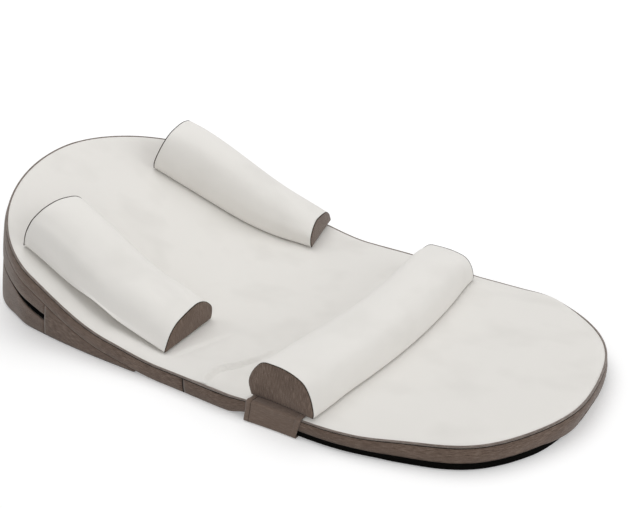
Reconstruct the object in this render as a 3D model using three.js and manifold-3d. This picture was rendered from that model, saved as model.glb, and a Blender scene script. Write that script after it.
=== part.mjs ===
// An infant lounger: a padded mat that rests flat at the foot end and slopes up
// over a foam wedge at the head end, with a leg bolster held by a strap round the
// mat, two side bolsters held by hook strips, and a zip in the wedge's wall.
// Millimetres. X is the width with the occupant's right at -X, Y runs to the head,
// Z is up, and the part stands on Z = 0.
// A place on the mat is written as x, s and h: x across, s along its underside from
// the foot tip, and h square to it, with h = 0 on the floor under the flat half.
import * as THREE from 'three';
import Module from 'manifold-3d';
import { mergeVertices } from 'three/addons/utils/BufferGeometryUtils.js';

const wasm = await Module();
wasm.setup();
const { smoothstep, clamp, lerp, degToRad } = THREE.MathUtils;

// Driving sizes
const touchGap = 0.3;
const mat = {
  width: 430,
  length: 855,
  footAxis: 378,
  headAxis: 189,
  bendStart: 434,
  bendLength: 210,
  headAngle: degToRad(27),
  underside: 7,
  top: 29,
};
const footPower = 2.75;
const headPower = 1.85;
// The mat is drawn in and pressed down at its edges by the strap, wider over the
// wedge, and rests lower between the two than on its black layer
const outline = { waist: 3.5, waistHalf: 50, headGain: 5, gainFrom: 380, gainTo: 560 };
const drop = { depth: 6.4, run: 30, backFrom: 425, backTo: 510 };
const pressed = { depth: 5.8, from: 70, to: 170, innerX: 150, outerX: 212 };
const askew = { most: 11, from: 100, full: 200, back: 340, end: 430 };
const cover = { top: 2, side: 1.5, underside: 1.2 };
const rim = { roll: 14, lip: 4.6, drop: 3.4 };
const piping = { radius: 1.8, inset: 2.4, belowTop: 2.8 };
const bandSeam = 393;
const basePanel = { length: 285, inset: 6, bevel: 1, thickness: 2.1 };
const edging = { outer: 0.8, inner: 5.7, low: 0.4, rightRise: 122, leftRise: 135, riseRun: 26 };
const sole = { length: 155, inset: 8, bevel: 1.6, thickness: 4.3 };
const wedge = {
  toe: 468,
  lean: degToRad(16.9),
  baseThickness: 1.2,
  wall: 1.5,
  toePanel: 1.2,
};
const zip = {
  rightEnd: 640,
  leftEnd: 585,
  slotHalf: 4.6,
  closedHalf: 1.5,
  openRun: 70,
  narrowRun: 70,
  tapeThickness: 0.8,
  tapeWidth: 9,
  chainHalf: 2.4,
  chainRecess: 0.5,
};
const zipLineShare = 0.47;
const slider = {
  fromEnd: 14,
  length: 12,
  tailHalf: 3.2,
  headHalf: 4.1,
  plate: 1.6,
  flange: 0.9,
  flangeDepth: 1.2,
  play: 0.35,
  bridgeHalf: 3,
  bridgeLeg: 1.2,
  bridgeWidth: 1.8,
  bridgeOpening: 2.2,
  bridgeBar: 1,
};
const pull = {
  barWidth: 1,
  thickness: 1.2,
  arm: 1,
  eyeReach: 4,
  length: 21,
  tabHalf: 3.2,
  roundHole: 1.3,
  holeFromTip: 4.2,
};
const bolsterCover = 1.5;
const coreEase = 0.5;
const sideBolster = {
  length: 266,
  footWidth: 100,
  headWidth: 97,
  footHeight: 32.5,
  headHeight: 61.5,
  crown: 11,
  outerLift: 7,
  footSkew: 7,
  hookSpacing: 18,
  hookThickness: 1,
  hookWidth: 20,
  hookLength: 210,
};
const rightPlace = { fromEdge: 71.5, s: 578, turn: 0 };
const leftPlace = { fromEdge: 68, s: 628, turn: degToRad(13.5) };
const legBolster = { rightInset: 12, leftInset: 27, depth: 87, height: 48, s: 266, bow: 18 };
const strap = {
  width: 71,
  thickness: 0.9,
  shift: 4.5,
  tuck: 20,
  topRadius: 3.6,
  floorRadius: 1,
  overlap: 30,
  floorGap: 0.3,
  hookThickness: 0.6,
  loopThickness: 0.5,
  patchInset: 5,
};

// How finely the curves are stepped
const dropStations = 8;
const bendStations = 16;
const bendSteps = 240;
const sideBolsterStations = 18;
const legBolsterStations = 12;
const strapStations = 4;
const arcSteps = 3;
const pipingSides = 5;
const footWidthShares = [0.12, 0.32, 0.5, 0.65, 0.78, 0.88, 0.915, 0.945, 0.965, 0.98, 0.995];
const headWidthShares = [0.985, 0.94, 0.86, 0.75, 0.62, 0.47, 0.3, 0.13];
const rimShares = [0, 0.5, 0.8, 1];

// Outlines of the bolsters' ends, from the outer or foot-side bottom corner over the
// crown to the other bottom corner, as shares of the width and of the height
const sideFootShares = [
  [0.02, 0], [0.06, 0.2], [0.16, 0.55], [0.29, 0.79], [0.45, 0.91], [0.6, 0.98],
  [0.72, 1], [0.83, 0.91], [0.92, 0.73], [0.99, 0.46], [0.98, 0.16], [0.95, 0], [0.6, 0], [0.2, 0],
];
const sideHeadShares = [
  [0.01, 0], [0, 0.36], [0.05, 0.65], [0.13, 0.8], [0.24, 0.92], [0.42, 1],
  [0.6, 0.98], [0.76, 0.9], [0.88, 0.72], [0.97, 0.44], [1, 0.2], [0.96, 0], [0.6, 0], [0.2, 0],
];
const legShares = [
  [0.01, 0], [0, 0.18], [0.01, 0.36], [0.05, 0.6], [0.16, 0.86], [0.31, 0.96],
  [0.54, 1], [0.71, 0.94], [0.85, 0.79], [0.94, 0.56], [1, 0.29], [0.98, 0],
];

// Shared clearances worked out from the sizes above
const bolsterSeat = mat.top + touchGap + sideBolster.hookThickness + touchGap;
const legSeat = mat.top + touchGap + strap.thickness + touchGap;
const rightRunLow = strap.floorGap;
const hookLow = rightRunLow + strap.thickness + touchGap;
const loopLow = hookLow + strap.hookThickness + touchGap;
const leftRunLow = loopLow + strap.loopThickness + touchGap;
const wedgeTop = mat.underside - touchGap;
const wedgeFloor = wedge.baseThickness + touchGap;
const legLength = mat.width - legBolster.rightInset - legBolster.leftInset;
const legMiddle = (legBolster.rightInset - legBolster.leftInset) / 2;
const strapMiddle = legBolster.s + strap.shift;
const dropStart = strapMiddle + strap.width / 2;
const dropEnd = dropStart + drop.run;

// Materials
function cloth(color, roughness = 0.9) {
  return { color, roughness, metalness: 0 };
}
const greyCloth = cloth(0x61534a);
const whiteCloth = cloth(0xdbd9d4, 0.85);
const blackCloth = cloth(0x0d0b09);
const pipingCloth = cloth(0x8a8078);
const foam = cloth(0xe6dfc8);
const blackRubber = cloth(0x141210, 0.8);
const blackPlastic = cloth(0x121110, 0.45);

const lounger = new THREE.Group();
function add(name, geometry, look) {
  const mesh = new THREE.Mesh(geometry, new THREE.MeshStandardMaterial(look));
  mesh.name = name;
  lounger.add(mesh);
  return mesh;
}

// Closed solid through loops of points. The loops have the same count, and each is
// closed at the ends by rungs between its first and second half.
function skin(loops, isRing = false) {
  const count = loops[0].length;
  const index = [];
  const rows = isRing ? loops.length : loops.length - 1;
  for (let row = 0; row < rows; row += 1) {
    const next = (row + 1) % loops.length;
    for (let k = 0; k < count; k += 1) {
      const after = (k + 1) % count;
      const corners = [row * count + k, row * count + after, next * count + after, next * count + k];
      index.push(corners[0], corners[1], corners[2], corners[0], corners[2], corners[3]);
    }
  }
  if (!isRing) {
    addRungs(index, 0, count, false);
    addRungs(index, (loops.length - 1) * count, count, true);
  }
  const geometry = new THREE.BufferGeometry();
  geometry.setAttribute('position', new THREE.Float32BufferAttribute(loops.flat(2), 3));
  geometry.setIndex(index);
  return facingOut(geometry);
}

function addRungs(index, start, count, isLast) {
  for (let k = 0; k < count / 2 - 1; k += 1) {
    const rung = [start + k, start + count - 1 - k, start + count - 2 - k, start + k + 1];
    if (isLast) rung.reverse();
    index.push(rung[0], rung[1], rung[2], rung[0], rung[2], rung[3]);
  }
}

// Turns every face over if the faces point inwards
function facingOut(geometry) {
  const position = geometry.attributes.position;
  const index = geometry.index.array;
  const [a, b, c] = [new THREE.Vector3(), new THREE.Vector3(), new THREE.Vector3()];
  let volume = 0;
  for (let k = 0; k < index.length; k += 3) {
    a.fromBufferAttribute(position, index[k]);
    b.fromBufferAttribute(position, index[k + 1]);
    c.fromBufferAttribute(position, index[k + 2]);
    volume += a.dot(b.cross(c));
  }
  if (volume < 0) geometry.setIndex(Array.from(index).reverse());
  geometry.computeVertexNormals();
  return geometry;
}

// The mat's side view: flat, then an even bend, then a straight slope
const bendStep = mat.bendLength / bendSteps;
const bendEnd = mat.bendStart + mat.bendLength;
const bendNodes = [{ y: mat.bendStart, z: 0 }];
for (let step = 0; step < bendSteps; step += 1) {
  const angle = angleAt(mat.bendStart + (step + 0.5) * bendStep);
  const last = bendNodes[step];
  bendNodes.push({ y: last.y + bendStep * Math.cos(angle), z: last.z + bendStep * Math.sin(angle) });
}

function angleAt(s) {
  return mat.headAngle * smoothstep(s, mat.bendStart, bendEnd);
}

function spineAt(s) {
  const along = clamp((s - mat.bendStart) / bendStep, 0, bendSteps);
  const node = Math.min(Math.floor(along), bendSteps - 1);
  const [from, to] = [bendNodes[node], bendNodes[node + 1]];
  const before = Math.min(s - mat.bendStart, 0);
  const past = Math.max(s - bendEnd, 0);
  const angle = angleAt(s);
  return {
    angle,
    y: lerp(from.y, to.y, along - node) + before + past * Math.cos(angle),
    z: lerp(from.z, to.z, along - node) + past * Math.sin(angle),
  };
}

function widthShareAt(s) {
  const waist = outline.waist * Math.exp(-(((s - strapMiddle) / outline.waistHalf) ** 2));
  const gain = outline.headGain * smoothstep(s, outline.gainFrom, outline.gainTo);
  return 1 + (gain - waist) / (mat.width / 2);
}

// The strap and the leg bolster on it lie a little askew, and the mat with them
function askewAt(x, s) {
  const along = smoothstep(s, askew.from, askew.full) * (1 - smoothstep(s, askew.back, askew.end));
  return askew.most * along * clamp(2 * (x - legMiddle) / legLength, -1, 1);
}

function dropAt(s) {
  return drop.depth * smoothstep(s, dropStart, dropEnd) * (1 - smoothstep(s, drop.backFrom, drop.backTo));
}

function pressedAt(x, s) {
  const outward = Math.abs(x) * widthShareAt(s) - pressed.innerX;
  const across = clamp(outward / (pressed.outerX - pressed.innerX), 0, 1);
  const along = smoothstep(s, pressed.from, pressed.to) * (1 - smoothstep(s, dropStart, dropEnd));
  return pressed.depth * across * along;
}

function place(x, s, h) {
  const spine = spineAt(s + askewAt(x, s));
  const level = h - pressedAt(x, s) * clamp((h - mat.underside) / (mat.top - mat.underside), 0, 1);
  return [
    x * widthShareAt(s),
    spine.y - level * Math.sin(spine.angle),
    spine.z + level * Math.cos(spine.angle) - dropAt(s),
  ];
}

// The mat's plan outline: a superellipse at each end and straight sides between.
// A station is one place along it, and edgeAt gives its edge, moved in by an inset.
function endStation(end, s, along, power) {
  return { end, s, along, width: (1 - along ** power) ** (1 / power) };
}

function stationAt(s) {
  const headStart = mat.length - mat.headAxis;
  if (s < mat.footAxis) return endStation('foot', s, 1 - s / mat.footAxis, footPower);
  if (s > headStart) return endStation('head', s, (s - headStart) / mat.headAxis, headPower);
  return { end: 'middle', s, along: 0, width: 1 };
}

function stationOfWidth(end, share) {
  const power = end === 'foot' ? footPower : headPower;
  const along = (1 - share ** power) ** (1 / power);
  if (end === 'foot') return stationAt(mat.footAxis * (1 - along));
  return stationAt(mat.length - mat.headAxis * (1 - along));
}

const stations = [
  ...footWidthShares.map((share) => stationOfWidth('foot', share)),
  stationAt(mat.footAxis),
  stationAt((mat.footAxis + mat.bendStart) / 2),
  ...Array.from({ length: strapStations }, (_, k) => (
    stationAt(dropStart - strap.width * (1 - k / strapStations))
  )),
  ...Array.from({ length: dropStations + 1 }, (_, k) => (
    stationAt(lerp(dropStart, dropEnd, k / dropStations))
  )),
  ...Array.from({ length: bendStations + 1 }, (_, k) => (
    stationAt(lerp(mat.bendStart, bendEnd, k / bendStations))
  )),
  ...headWidthShares.map((share) => stationOfWidth('head', share)),
].sort((a, b) => a.s - b.s);
const footTip = stations[0].s;
const headTip = stations[stations.length - 1].s;

function stationsBetween(from, to) {
  const inner = stations.filter((station) => station.s > from && station.s < to);
  return [stationAt(from), ...inner, stationAt(to)];
}

function edgeAt(station, inset) {
  const x = (mat.width / 2 - inset) * station.width;
  if (station.end === 'foot') return { x, s: mat.footAxis - (mat.footAxis - inset) * station.along };
  if (station.end === 'head') {
    return { x, s: mat.length - mat.headAxis + (mat.headAxis - inset) * station.along };
  }
  return { x, s: station.s };
}

function halfWidthAt(s) {
  return edgeAt(stationAt(s), 0).x;
}

// A solid that fills the outline, through rings given from its underside's edge,
// out and up to its top's edge
function slab(list, rings, put) {
  return skin(list.map((station) => {
    const side = (sign) => rings(station).map((ring) => {
      const edge = edgeAt(station, ring.inset);
      return put(sign * edge.x, edge.s, ring.height);
    });
    return [...side(-1), ...side(1).reverse()];
  }));
}

// A strip that follows the outline, with one loop of corners at each station
function strip(path, corners, put, isRing = false) {
  return skin(path.map(({ station, sign }) => corners(station, sign).map((corner) => {
    const edge = edgeAt(station, corner.inset);
    return put(sign * edge.x, edge.s, corner.height);
  })), isRing);
}

function onSide(sign, list) {
  return list.map((station) => ({ station, sign }));
}

function roundFoot(list) {
  return [...onSide(-1, list).reverse(), ...onSide(1, list)];
}

function box(insetOut, insetIn, low, high) {
  return [
    { inset: insetOut, height: low },
    { inset: insetOut, height: high },
    { inset: insetIn, height: high },
    { inset: insetIn, height: low },
  ];
}

// Mat
const insideCover = cover.side + touchGap;
const coreLow = mat.underside + cover.underside + touchGap;
const pipingHeight = mat.top - piping.belowTop;
const bandTop = pipingHeight - piping.radius - touchGap;

// The top panel's rim as it rolls down to the piping: its upper and lower faces
function rimOver(share) {
  return { inset: lerp(rim.roll, rim.lip, share), height: mat.top - rim.drop * share * share };
}

function rimUnder(share, extra = 0) {
  const over = rimOver(share);
  const thinningShare = 0.3;
  return {
    inset: over.inset + cover.top * (1 - thinningShare) * share,
    height: over.height - cover.top * (1 - thinningShare * share) - extra,
  };
}

// The top is level inside this inset, and slopes outside it where the strap presses it
const flatInset = mat.width / 2 - pressed.innerX;

function matCoreRings() {
  const shoulder = rimUnder(1, touchGap + coreEase);
  return [
    { inset: insideCover, height: coreLow },
    { inset: insideCover, height: shoulder.height - (shoulder.inset - insideCover) },
    ...rimShares.toReversed().map((share) => rimUnder(share, touchGap + coreEase)),
    { inset: flatInset, height: rimUnder(0, touchGap + coreEase).height },
  ];
}

function topPanelRings() {
  return [
    { inset: flatInset, height: rimUnder(0).height },
    ...rimShares.map((share) => rimUnder(share)),
    ...rimShares.toReversed().map(rimOver),
    { inset: flatInset, height: mat.top },
  ];
}

add('mat_core', slab(stations.toReversed(), matCoreRings, place), foam);
add('mat_top_panel', slab(stations, topPanelRings, place), whiteCloth);
add('mat_bottom_panel', slab(stations, () => [
  { inset: insideCover, height: mat.underside },
  { inset: insideCover, height: mat.underside + cover.underside },
], place), greyCloth);

const bandCorners = () => box(0, cover.side, mat.underside, bandTop);
const footBand = stationsBetween(footTip, bandSeam - touchGap / 2);
const headBand = stationsBetween(bandSeam + touchGap / 2, headTip);
add('mat_foot_band', strip(roundFoot(footBand), bandCorners, place), greyCloth);
add('mat_head_band', strip(roundFoot(headBand.toReversed()), bandCorners, place), greyCloth);

const pipingCorners = () => Array.from({ length: pipingSides }, (_, k) => {
  const turn = 2 * Math.PI * k / pipingSides;
  return {
    inset: piping.inset + piping.radius * Math.sin(turn),
    height: pipingHeight + piping.radius * Math.cos(turn),
  };
});
add('mat_piping', strip(roundFoot(stations.toReversed()), pipingCorners, place, true), pipingCloth);

const basePanelTop = mat.underside - touchGap;
add('foot_base_panel', slab(stationsBetween(footTip, basePanel.length), () => [
  { inset: basePanel.inset + basePanel.bevel, height: basePanelTop - basePanel.thickness },
  { inset: basePanel.inset, height: basePanelTop - basePanel.thickness + basePanel.bevel },
  { inset: basePanel.inset, height: basePanelTop },
], place), blackCloth);

// The black layer's edge comes down to the floor, or to the strap where that slides
function edgingCorners(station, sign) {
  const rise = sign < 0 ? edging.rightRise : edging.leftRise;
  const strapTop = (sign < 0 ? rightRunLow : leftRunLow) + strap.thickness + touchGap;
  const low = lerp(edging.low, strapTop, smoothstep(station.s, rise, rise + edging.riseRun));
  return box(edging.outer, edging.inner, low, basePanelTop);
}

const edgingPath = roundFoot(stationsBetween(footTip, basePanel.length));
add('foot_edging', strip(edgingPath, edgingCorners, place), blackCloth);
add('foot_sole', slab(stationsBetween(footTip, sole.length), () => [
  { inset: sole.inset + sole.bevel, height: 0 },
  { inset: sole.inset, height: sole.bevel },
  { inset: sole.inset, height: sole.thickness },
], place), blackRubber);

// Wedge. Its walls lean outwards to the head as they go down, from the mat's
// underside to the floor.
const leanOut = Math.tan(wedge.lean);

function wedgeTopZ(s) {
  return place(0, s, wedgeTop)[2];
}

function putInWedge(x, s, z) {
  const [placedX, y, topZ] = place(x, s, wedgeTop);
  return [placedX, y + (topZ - z) * leanOut, z];
}

function putUpToMat(x, s, z) {
  return putInWedge(x, s, Math.min(z, wedgeTopZ(s)));
}

const aboveWedge = place(0, mat.length, mat.top)[2];
const coreInset = wedge.wall + touchGap + zip.tapeThickness + touchGap;
const wedgeStations = stationsBetween(wedge.toe, headTip);
add('wedge_base_panel', slab(wedgeStations, () => [
  { inset: 0, height: 0 },
  { inset: 0, height: wedge.baseThickness },
], putInWedge), blackCloth);
add('wedge_core', slab(stationsBetween(wedge.toe + wedge.toePanel + touchGap, headTip), () => [
  { inset: coreInset, height: wedgeFloor },
  { inset: coreInset, height: aboveWedge },
], putUpToMat), foam);
add('wedge_toe_panel', slab([stationAt(wedge.toe), stationAt(wedge.toe + wedge.toePanel)], () => [
  { inset: insideCover, height: wedgeFloor },
  { inset: insideCover, height: aboveWedge },
], putUpToMat), greyCloth);

// The wedge's wall: a toe gusset on each side, and an upper and a lower gusset
// round the head with the zip's slot between them
const slopePerLength = (wedgeTopZ(mat.length) - wedgeTopZ(bendEnd)) / (mat.length - bendEnd);

function zipHeightAt(s) {
  return zipLineShare * (wedgeTopZ(bendEnd) + slopePerLength * (s - bendEnd));
}

// The slot is open at both ends of the zip, with the lips closer together between
function slotHalfAt({ station, sign }) {
  const end = sign < 0 ? zip.rightEnd : zip.leftEnd;
  const open = end + (sign < 0 ? 0 : zip.openRun);
  return lerp(zip.slotHalf, zip.closedHalf, smoothstep(station.s, open, open + zip.narrowRun));
}

function headWall(from, to, corners) {
  const right = onSide(-1, stationsBetween(from, headTip));
  const left = onSide(1, stationsBetween(to, headTip)).reverse();
  return skin([...right, ...left].map((point) => corners(point).map((corner) => {
    const edge = edgeAt(point.station, corner.inset);
    return putUpToMat(point.sign * edge.x, edge.s, corner.height);
  })));
}

add('wedge_toe_gusset_right', strip(
  onSide(-1, stationsBetween(wedge.toe, zip.rightEnd - touchGap)),
  () => box(0, wedge.wall, wedgeFloor, aboveWedge),
  putUpToMat,
), greyCloth);
add('wedge_toe_gusset_left', strip(
  onSide(1, stationsBetween(wedge.toe, zip.leftEnd - touchGap)),
  () => box(0, wedge.wall, wedgeFloor, aboveWedge),
  putUpToMat,
), greyCloth);
add('wedge_lower_gusset', headWall(zip.rightEnd, zip.leftEnd, (point) => (
  box(0, wedge.wall, wedgeFloor, zipHeightAt(point.station.s) - slotHalfAt(point))
)), greyCloth);
add('wedge_upper_gusset', headWall(zip.rightEnd, zip.leftEnd, (point) => (
  box(0, wedge.wall, zipHeightAt(point.station.s) + slotHalfAt(point), aboveWedge)
)), greyCloth);

const tapeInset = wedge.wall + touchGap;
const tapeSplit = touchGap / 2;
const chainEnd = touchGap * 2;
add('zip_tape_upper', headWall(zip.rightEnd, zip.leftEnd, ({ station: { s } }) => (
  box(tapeInset, tapeInset + zip.tapeThickness, zipHeightAt(s) + tapeSplit, zipHeightAt(s) + zip.tapeWidth)
)), blackCloth);
add('zip_tape_lower', headWall(zip.rightEnd, zip.leftEnd, ({ station: { s } }) => (
  box(tapeInset, tapeInset + zip.tapeThickness, zipHeightAt(s) - zip.tapeWidth, zipHeightAt(s) - tapeSplit)
)), blackCloth);
add('zip_chain', headWall(zip.rightEnd + chainEnd, zip.leftEnd + chainEnd, (point) => {
  const half = Math.min(zip.chainHalf, slotHalfAt(point) - touchGap);
  const middle = zipHeightAt(point.station.s);
  return box(zip.chainRecess, tapeInset - touchGap, middle - half, middle + half);
}), blackPlastic);

// Zip slider, on the left side where the zip runs straight. It is drawn with u along
// the zip to the head, v up across it and n outwards, from a point on the chain's face.
function manifoldOf(geometry) {
  const plain = geometry.clone();
  plain.deleteAttribute('normal');
  plain.deleteAttribute('uv');
  const merged = mergeVertices(plain);
  return new wasm.Manifold(new wasm.Mesh({
    numProp: 3,
    vertProperties: new Float32Array(merged.attributes.position.array),
    triVerts: new Uint32Array(merged.index.array),
  }));
}

function geometryOf(solid) {
  const mesh = solid.getMesh();
  const geometry = new THREE.BufferGeometry();
  geometry.setAttribute('position', new THREE.Float32BufferAttribute(mesh.vertProperties, 3));
  geometry.setIndex(Array.from(mesh.triVerts));
  geometry.computeVertexNormals();
  return geometry;
}

function block(u, v, n) {
  const geometry = new THREE.BoxGeometry(u[1] - u[0], v[1] - v[0], n[1] - n[0]);
  return geometry.translate((u[0] + u[1]) / 2, (v[0] + v[1]) / 2, (n[0] + n[1]) / 2);
}

function plate(outline, low, thickness) {
  const settings = { depth: thickness, bevelEnabled: false, curveSegments: 6 };
  return new THREE.ExtrudeGeometry(outline, settings).translate(0, 0, low);
}

function onChain(s) {
  const edge = edgeAt(stationAt(s), zip.chainRecess);
  return new THREE.Vector3(...putInWedge(edge.x, edge.s, zipHeightAt(s)));
}

const sliderS = zip.leftEnd + slider.fromEnd;
const alongZip = onChain(sliderS + slider.length / 2).sub(onChain(sliderS - slider.length / 2)).normalize();
const outOfWall = new THREE.Vector3(alongZip.y, -alongZip.x, 0).normalize();
const upZip = outOfWall.clone().cross(alongZip);
const sliderFrame = new THREE.Matrix4().makeBasis(alongZip, upZip, outOfWall).setPosition(onChain(sliderS));

function sliderOutline() {
  const shape = new THREE.Shape();
  const half = slider.length / 2;
  shape.moveTo(-half, -slider.tailHalf);
  shape.lineTo(0, -slider.tailHalf);
  shape.lineTo(half, -slider.headHalf);
  shape.quadraticCurveTo(half + slider.plate, 0, half, slider.headHalf);
  shape.lineTo(0, slider.tailHalf);
  shape.lineTo(-half, slider.tailHalf);
  shape.quadraticCurveTo(-half - slider.plate, 0, -half, -slider.tailHalf);
  return shape;
}

function sliderBridge(top) {
  const shape = new THREE.Shape();
  const crown = slider.bridgeOpening + slider.bridgeBar;
  shape.moveTo(-slider.bridgeHalf, -slider.plate / 2);
  shape.lineTo(slider.bridgeHalf, -slider.plate / 2);
  shape.lineTo(slider.bridgeHalf, crown - slider.bridgeBar);
  shape.lineTo(slider.bridgeHalf - slider.bridgeBar, crown);
  shape.lineTo(-slider.bridgeHalf + slider.bridgeBar, crown);
  shape.lineTo(-slider.bridgeHalf, crown - slider.bridgeBar);
  shape.closePath();
  const inner = slider.bridgeHalf - slider.bridgeLeg;
  const opening = new THREE.Path();
  opening.moveTo(-inner, 0);
  opening.lineTo(-inner, slider.bridgeOpening);
  opening.lineTo(inner, slider.bridgeOpening);
  opening.lineTo(inner, 0);
  opening.closePath();
  shape.holes.push(opening);
  const arch = plate(shape, -slider.bridgeWidth / 2, slider.bridgeWidth);
  return arch.rotateX(Math.PI / 2).translate(0, 0, top);
}

const plateLow = touchGap;
const plateTop = plateLow + slider.plate;
const flangeInner = zip.chainHalf + slider.play;
const flangeRange = [-slider.length / 2, slider.length / 2];
const flangeDown = [plateLow - slider.flangeDepth, plateLow + slider.plate / 2];
const sliderSolid = manifoldOf(plate(sliderOutline(), plateLow, slider.plate))
  .add(manifoldOf(block(flangeRange, [flangeInner, flangeInner + slider.flange], flangeDown)))
  .add(manifoldOf(block(flangeRange, [-flangeInner - slider.flange, -flangeInner], flangeDown)))
  .add(manifoldOf(sliderBridge(plateTop)));
add('zip_slider', geometryOf(sliderSolid).applyMatrix4(sliderFrame), blackPlastic);

// Zip pull: its bar lies in the bridge, its eye goes round the bridge's leg, and
// its tab lies flat along the zip to the head
function pullOutline() {
  const armOut = slider.bridgeWidth / 2 + touchGap + pull.arm;
  const eyeHalf = armOut - pull.arm;
  const tip = pull.length - pull.tabHalf;
  const shape = new THREE.Shape();
  shape.moveTo(-pull.barWidth / 2, -armOut);
  shape.lineTo(pull.eyeReach, -armOut);
  shape.lineTo(pull.eyeReach + pull.tabHalf, -pull.tabHalf);
  shape.lineTo(tip, -pull.tabHalf);
  shape.absarc(tip, 0, pull.tabHalf, -Math.PI / 2, Math.PI / 2, false);
  shape.lineTo(pull.eyeReach + pull.tabHalf, pull.tabHalf);
  shape.lineTo(pull.eyeReach, armOut);
  shape.lineTo(-pull.barWidth / 2, armOut);
  shape.closePath();
  const eye = new THREE.Path();
  eye.moveTo(pull.barWidth / 2, -eyeHalf);
  eye.lineTo(pull.barWidth / 2, eyeHalf);
  eye.lineTo(pull.eyeReach, eyeHalf);
  eye.lineTo(pull.eyeReach, -eyeHalf);
  eye.closePath();
  const hole = new THREE.Path();
  hole.absarc(pull.length - pull.holeFromTip, 0, pull.roundHole, 0, 2 * Math.PI, true);
  shape.holes.push(eye, hole);
  return shape;
}

const pivotHeight = plateTop + slider.bridgeOpening / 2;
const pullGeometry = plate(pullOutline(), pivotHeight - pull.thickness / 2, pull.thickness);
add('zip_pull', geometryOf(manifoldOf(pullGeometry)).applyMatrix4(sliderFrame), blackPlastic);

// Bolsters. An outline of shares becomes a loop of points a width by a height,
// moved in by an inset on all sides.
function loopOf(shares, width, height, inset) {
  return shares.map(([acrossShare, upShare]) => ({
    across: inset + acrossShare * (width - 2 * inset),
    up: inset + upShare * (height - 2 * inset),
  }));
}

// A tube of cloth: outer loops, then back through the inner ones
function sleeve(outer, inner) {
  return skin([...outer, ...inner.toReversed()], true);
}

function sideLoop(alongShare, inset, from) {
  const shares = sideFootShares.map((footPoint, k) => [
    lerp(footPoint[0], sideHeadShares[k][0], alongShare),
    lerp(footPoint[1], sideHeadShares[k][1], alongShare),
  ]);
  const full = 1 - (2 * alongShare - 1) ** 4;
  const width = lerp(sideBolster.footWidth, sideBolster.headWidth, alongShare);
  const plainHeight = lerp(sideBolster.footHeight, sideBolster.headHeight, alongShare);
  const height = plainHeight + sideBolster.crown * full;
  const along = (alongShare - 1 / 2) * sideBolster.length;
  return loopOf(shares, width, height, inset).map(({ across, up }, k) => {
    const outward = width / 2 - across;
    const skew = from.sign * sideBolster.footSkew * (2 * outward / width) * (1 - alongShare);
    const lift = k === 0 ? sideBolster.outerLift * full : 0;
    return putOnSide(from, outward, along + skew, bolsterSeat + up + lift);
  });
}

function putOnSide({ sign, fromEdge, s, turn }, outward, along, h) {
  const middleX = mat.width / 2 - fromEdge;
  const sideways = middleX + outward * Math.cos(turn) - along * Math.sin(turn);
  return place(sign * sideways, s + outward * Math.sin(turn) + along * Math.cos(turn), h);
}

function alongShares(steps, margin, length) {
  const marginShare = margin / length;
  return Array.from({ length: steps + 1 }, (_, k) => lerp(marginShare, 1 - marginShare, k / steps));
}

function hookStrip(from, outward) {
  const margin = (sideBolster.length - sideBolster.hookLength) / 2;
  const steps = alongShares(sideBolsterStations, margin, sideBolster.length);
  const low = mat.top + touchGap;
  return skin(steps.map((share) => {
    const along = (share - 1 / 2) * sideBolster.length;
    const high = sideBolster.hookThickness;
    return [[-1, 0], [-1, high], [1, high], [1, 0]].map(([side, up]) => (
      putOnSide(from, outward + side * sideBolster.hookWidth / 2, along, low + up)
    ));
  }));
}

for (const [side, sign, seat] of [['right', -1, rightPlace], ['left', 1, leftPlace]]) {
  const from = { sign, ...seat };
  const inside = bolsterCover + touchGap;
  const sleeveShares = alongShares(sideBolsterStations, inside, sideBolster.length);
  add(`${side}_bolster_core`, skin(sleeveShares.toReversed().map((share) => (
    sideLoop(share, bolsterCover + coreEase, from)
  ))), foam);
  add(`${side}_bolster_sleeve`, sleeve(
    sleeveShares.map((share) => sideLoop(share, 0, from)),
    sleeveShares.map((share) => sideLoop(share, bolsterCover, from)),
  ), whiteCloth);
  const panelShare = bolsterCover / sideBolster.length;
  for (const [end, shares] of [['foot', [0, panelShare]], ['head', [1 - panelShare, 1]]]) {
    add(`${side}_bolster_${end}_panel`, skin(shares.map((share) => sideLoop(share, 0, from))), greyCloth);
  }
  add(`${side}_bolster_outer_hook`, hookStrip(from, sideBolster.hookSpacing), blackCloth);
  add(`${side}_bolster_inner_hook`, hookStrip(from, -sideBolster.hookSpacing), blackCloth);
}

// Leg bolster, across the mat and bowed a little to the foot
function legShiftAt(x) {
  const share = 2 * (x - legMiddle) / legLength;
  return -legBolster.bow * (1 - share * share);
}

function legLoop(share, inset) {
  const x = legMiddle + (share - 1 / 2) * legLength;
  const start = legBolster.s - legBolster.depth / 2 + legShiftAt(x);
  return loopOf(legShares, legBolster.depth, legBolster.height, inset).map(({ across, up }) => (
    place(x, start + across, legSeat + up)
  ));
}

const legInside = bolsterCover + touchGap;
const legSteps = alongShares(legBolsterStations, legInside, legLength);
add('leg_bolster_core', skin(legSteps.toReversed().map((share) => (
  legLoop(share, bolsterCover + coreEase)
))), foam);
add('leg_bolster_sleeve', sleeve(
  legSteps.map((share) => legLoop(share, 0)),
  legSteps.map((share) => legLoop(share, bolsterCover)),
), whiteCloth);
const legPanelShare = bolsterCover / legLength;
add('leg_bolster_right_panel', skin([0, legPanelShare].map((share) => legLoop(share, 0))), greyCloth);
add('leg_bolster_left_panel', skin([1 - legPanelShare, 1].map((share) => legLoop(share, 0))), greyCloth);

// Strap: each half starts under the bolster's end, goes over the mat's edge and
// runs under the mat to the closure. The right half is the lower one there.
function arcPoints(centreX, centreH, radius, fromAngle, toAngle) {
  return Array.from({ length: arcSteps + 1 }, (_, k) => {
    const angle = lerp(fromAngle, toAngle, k / arcSteps);
    return [centreX + radius * Math.cos(angle), centreH + radius * Math.sin(angle)];
  });
}

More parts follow.
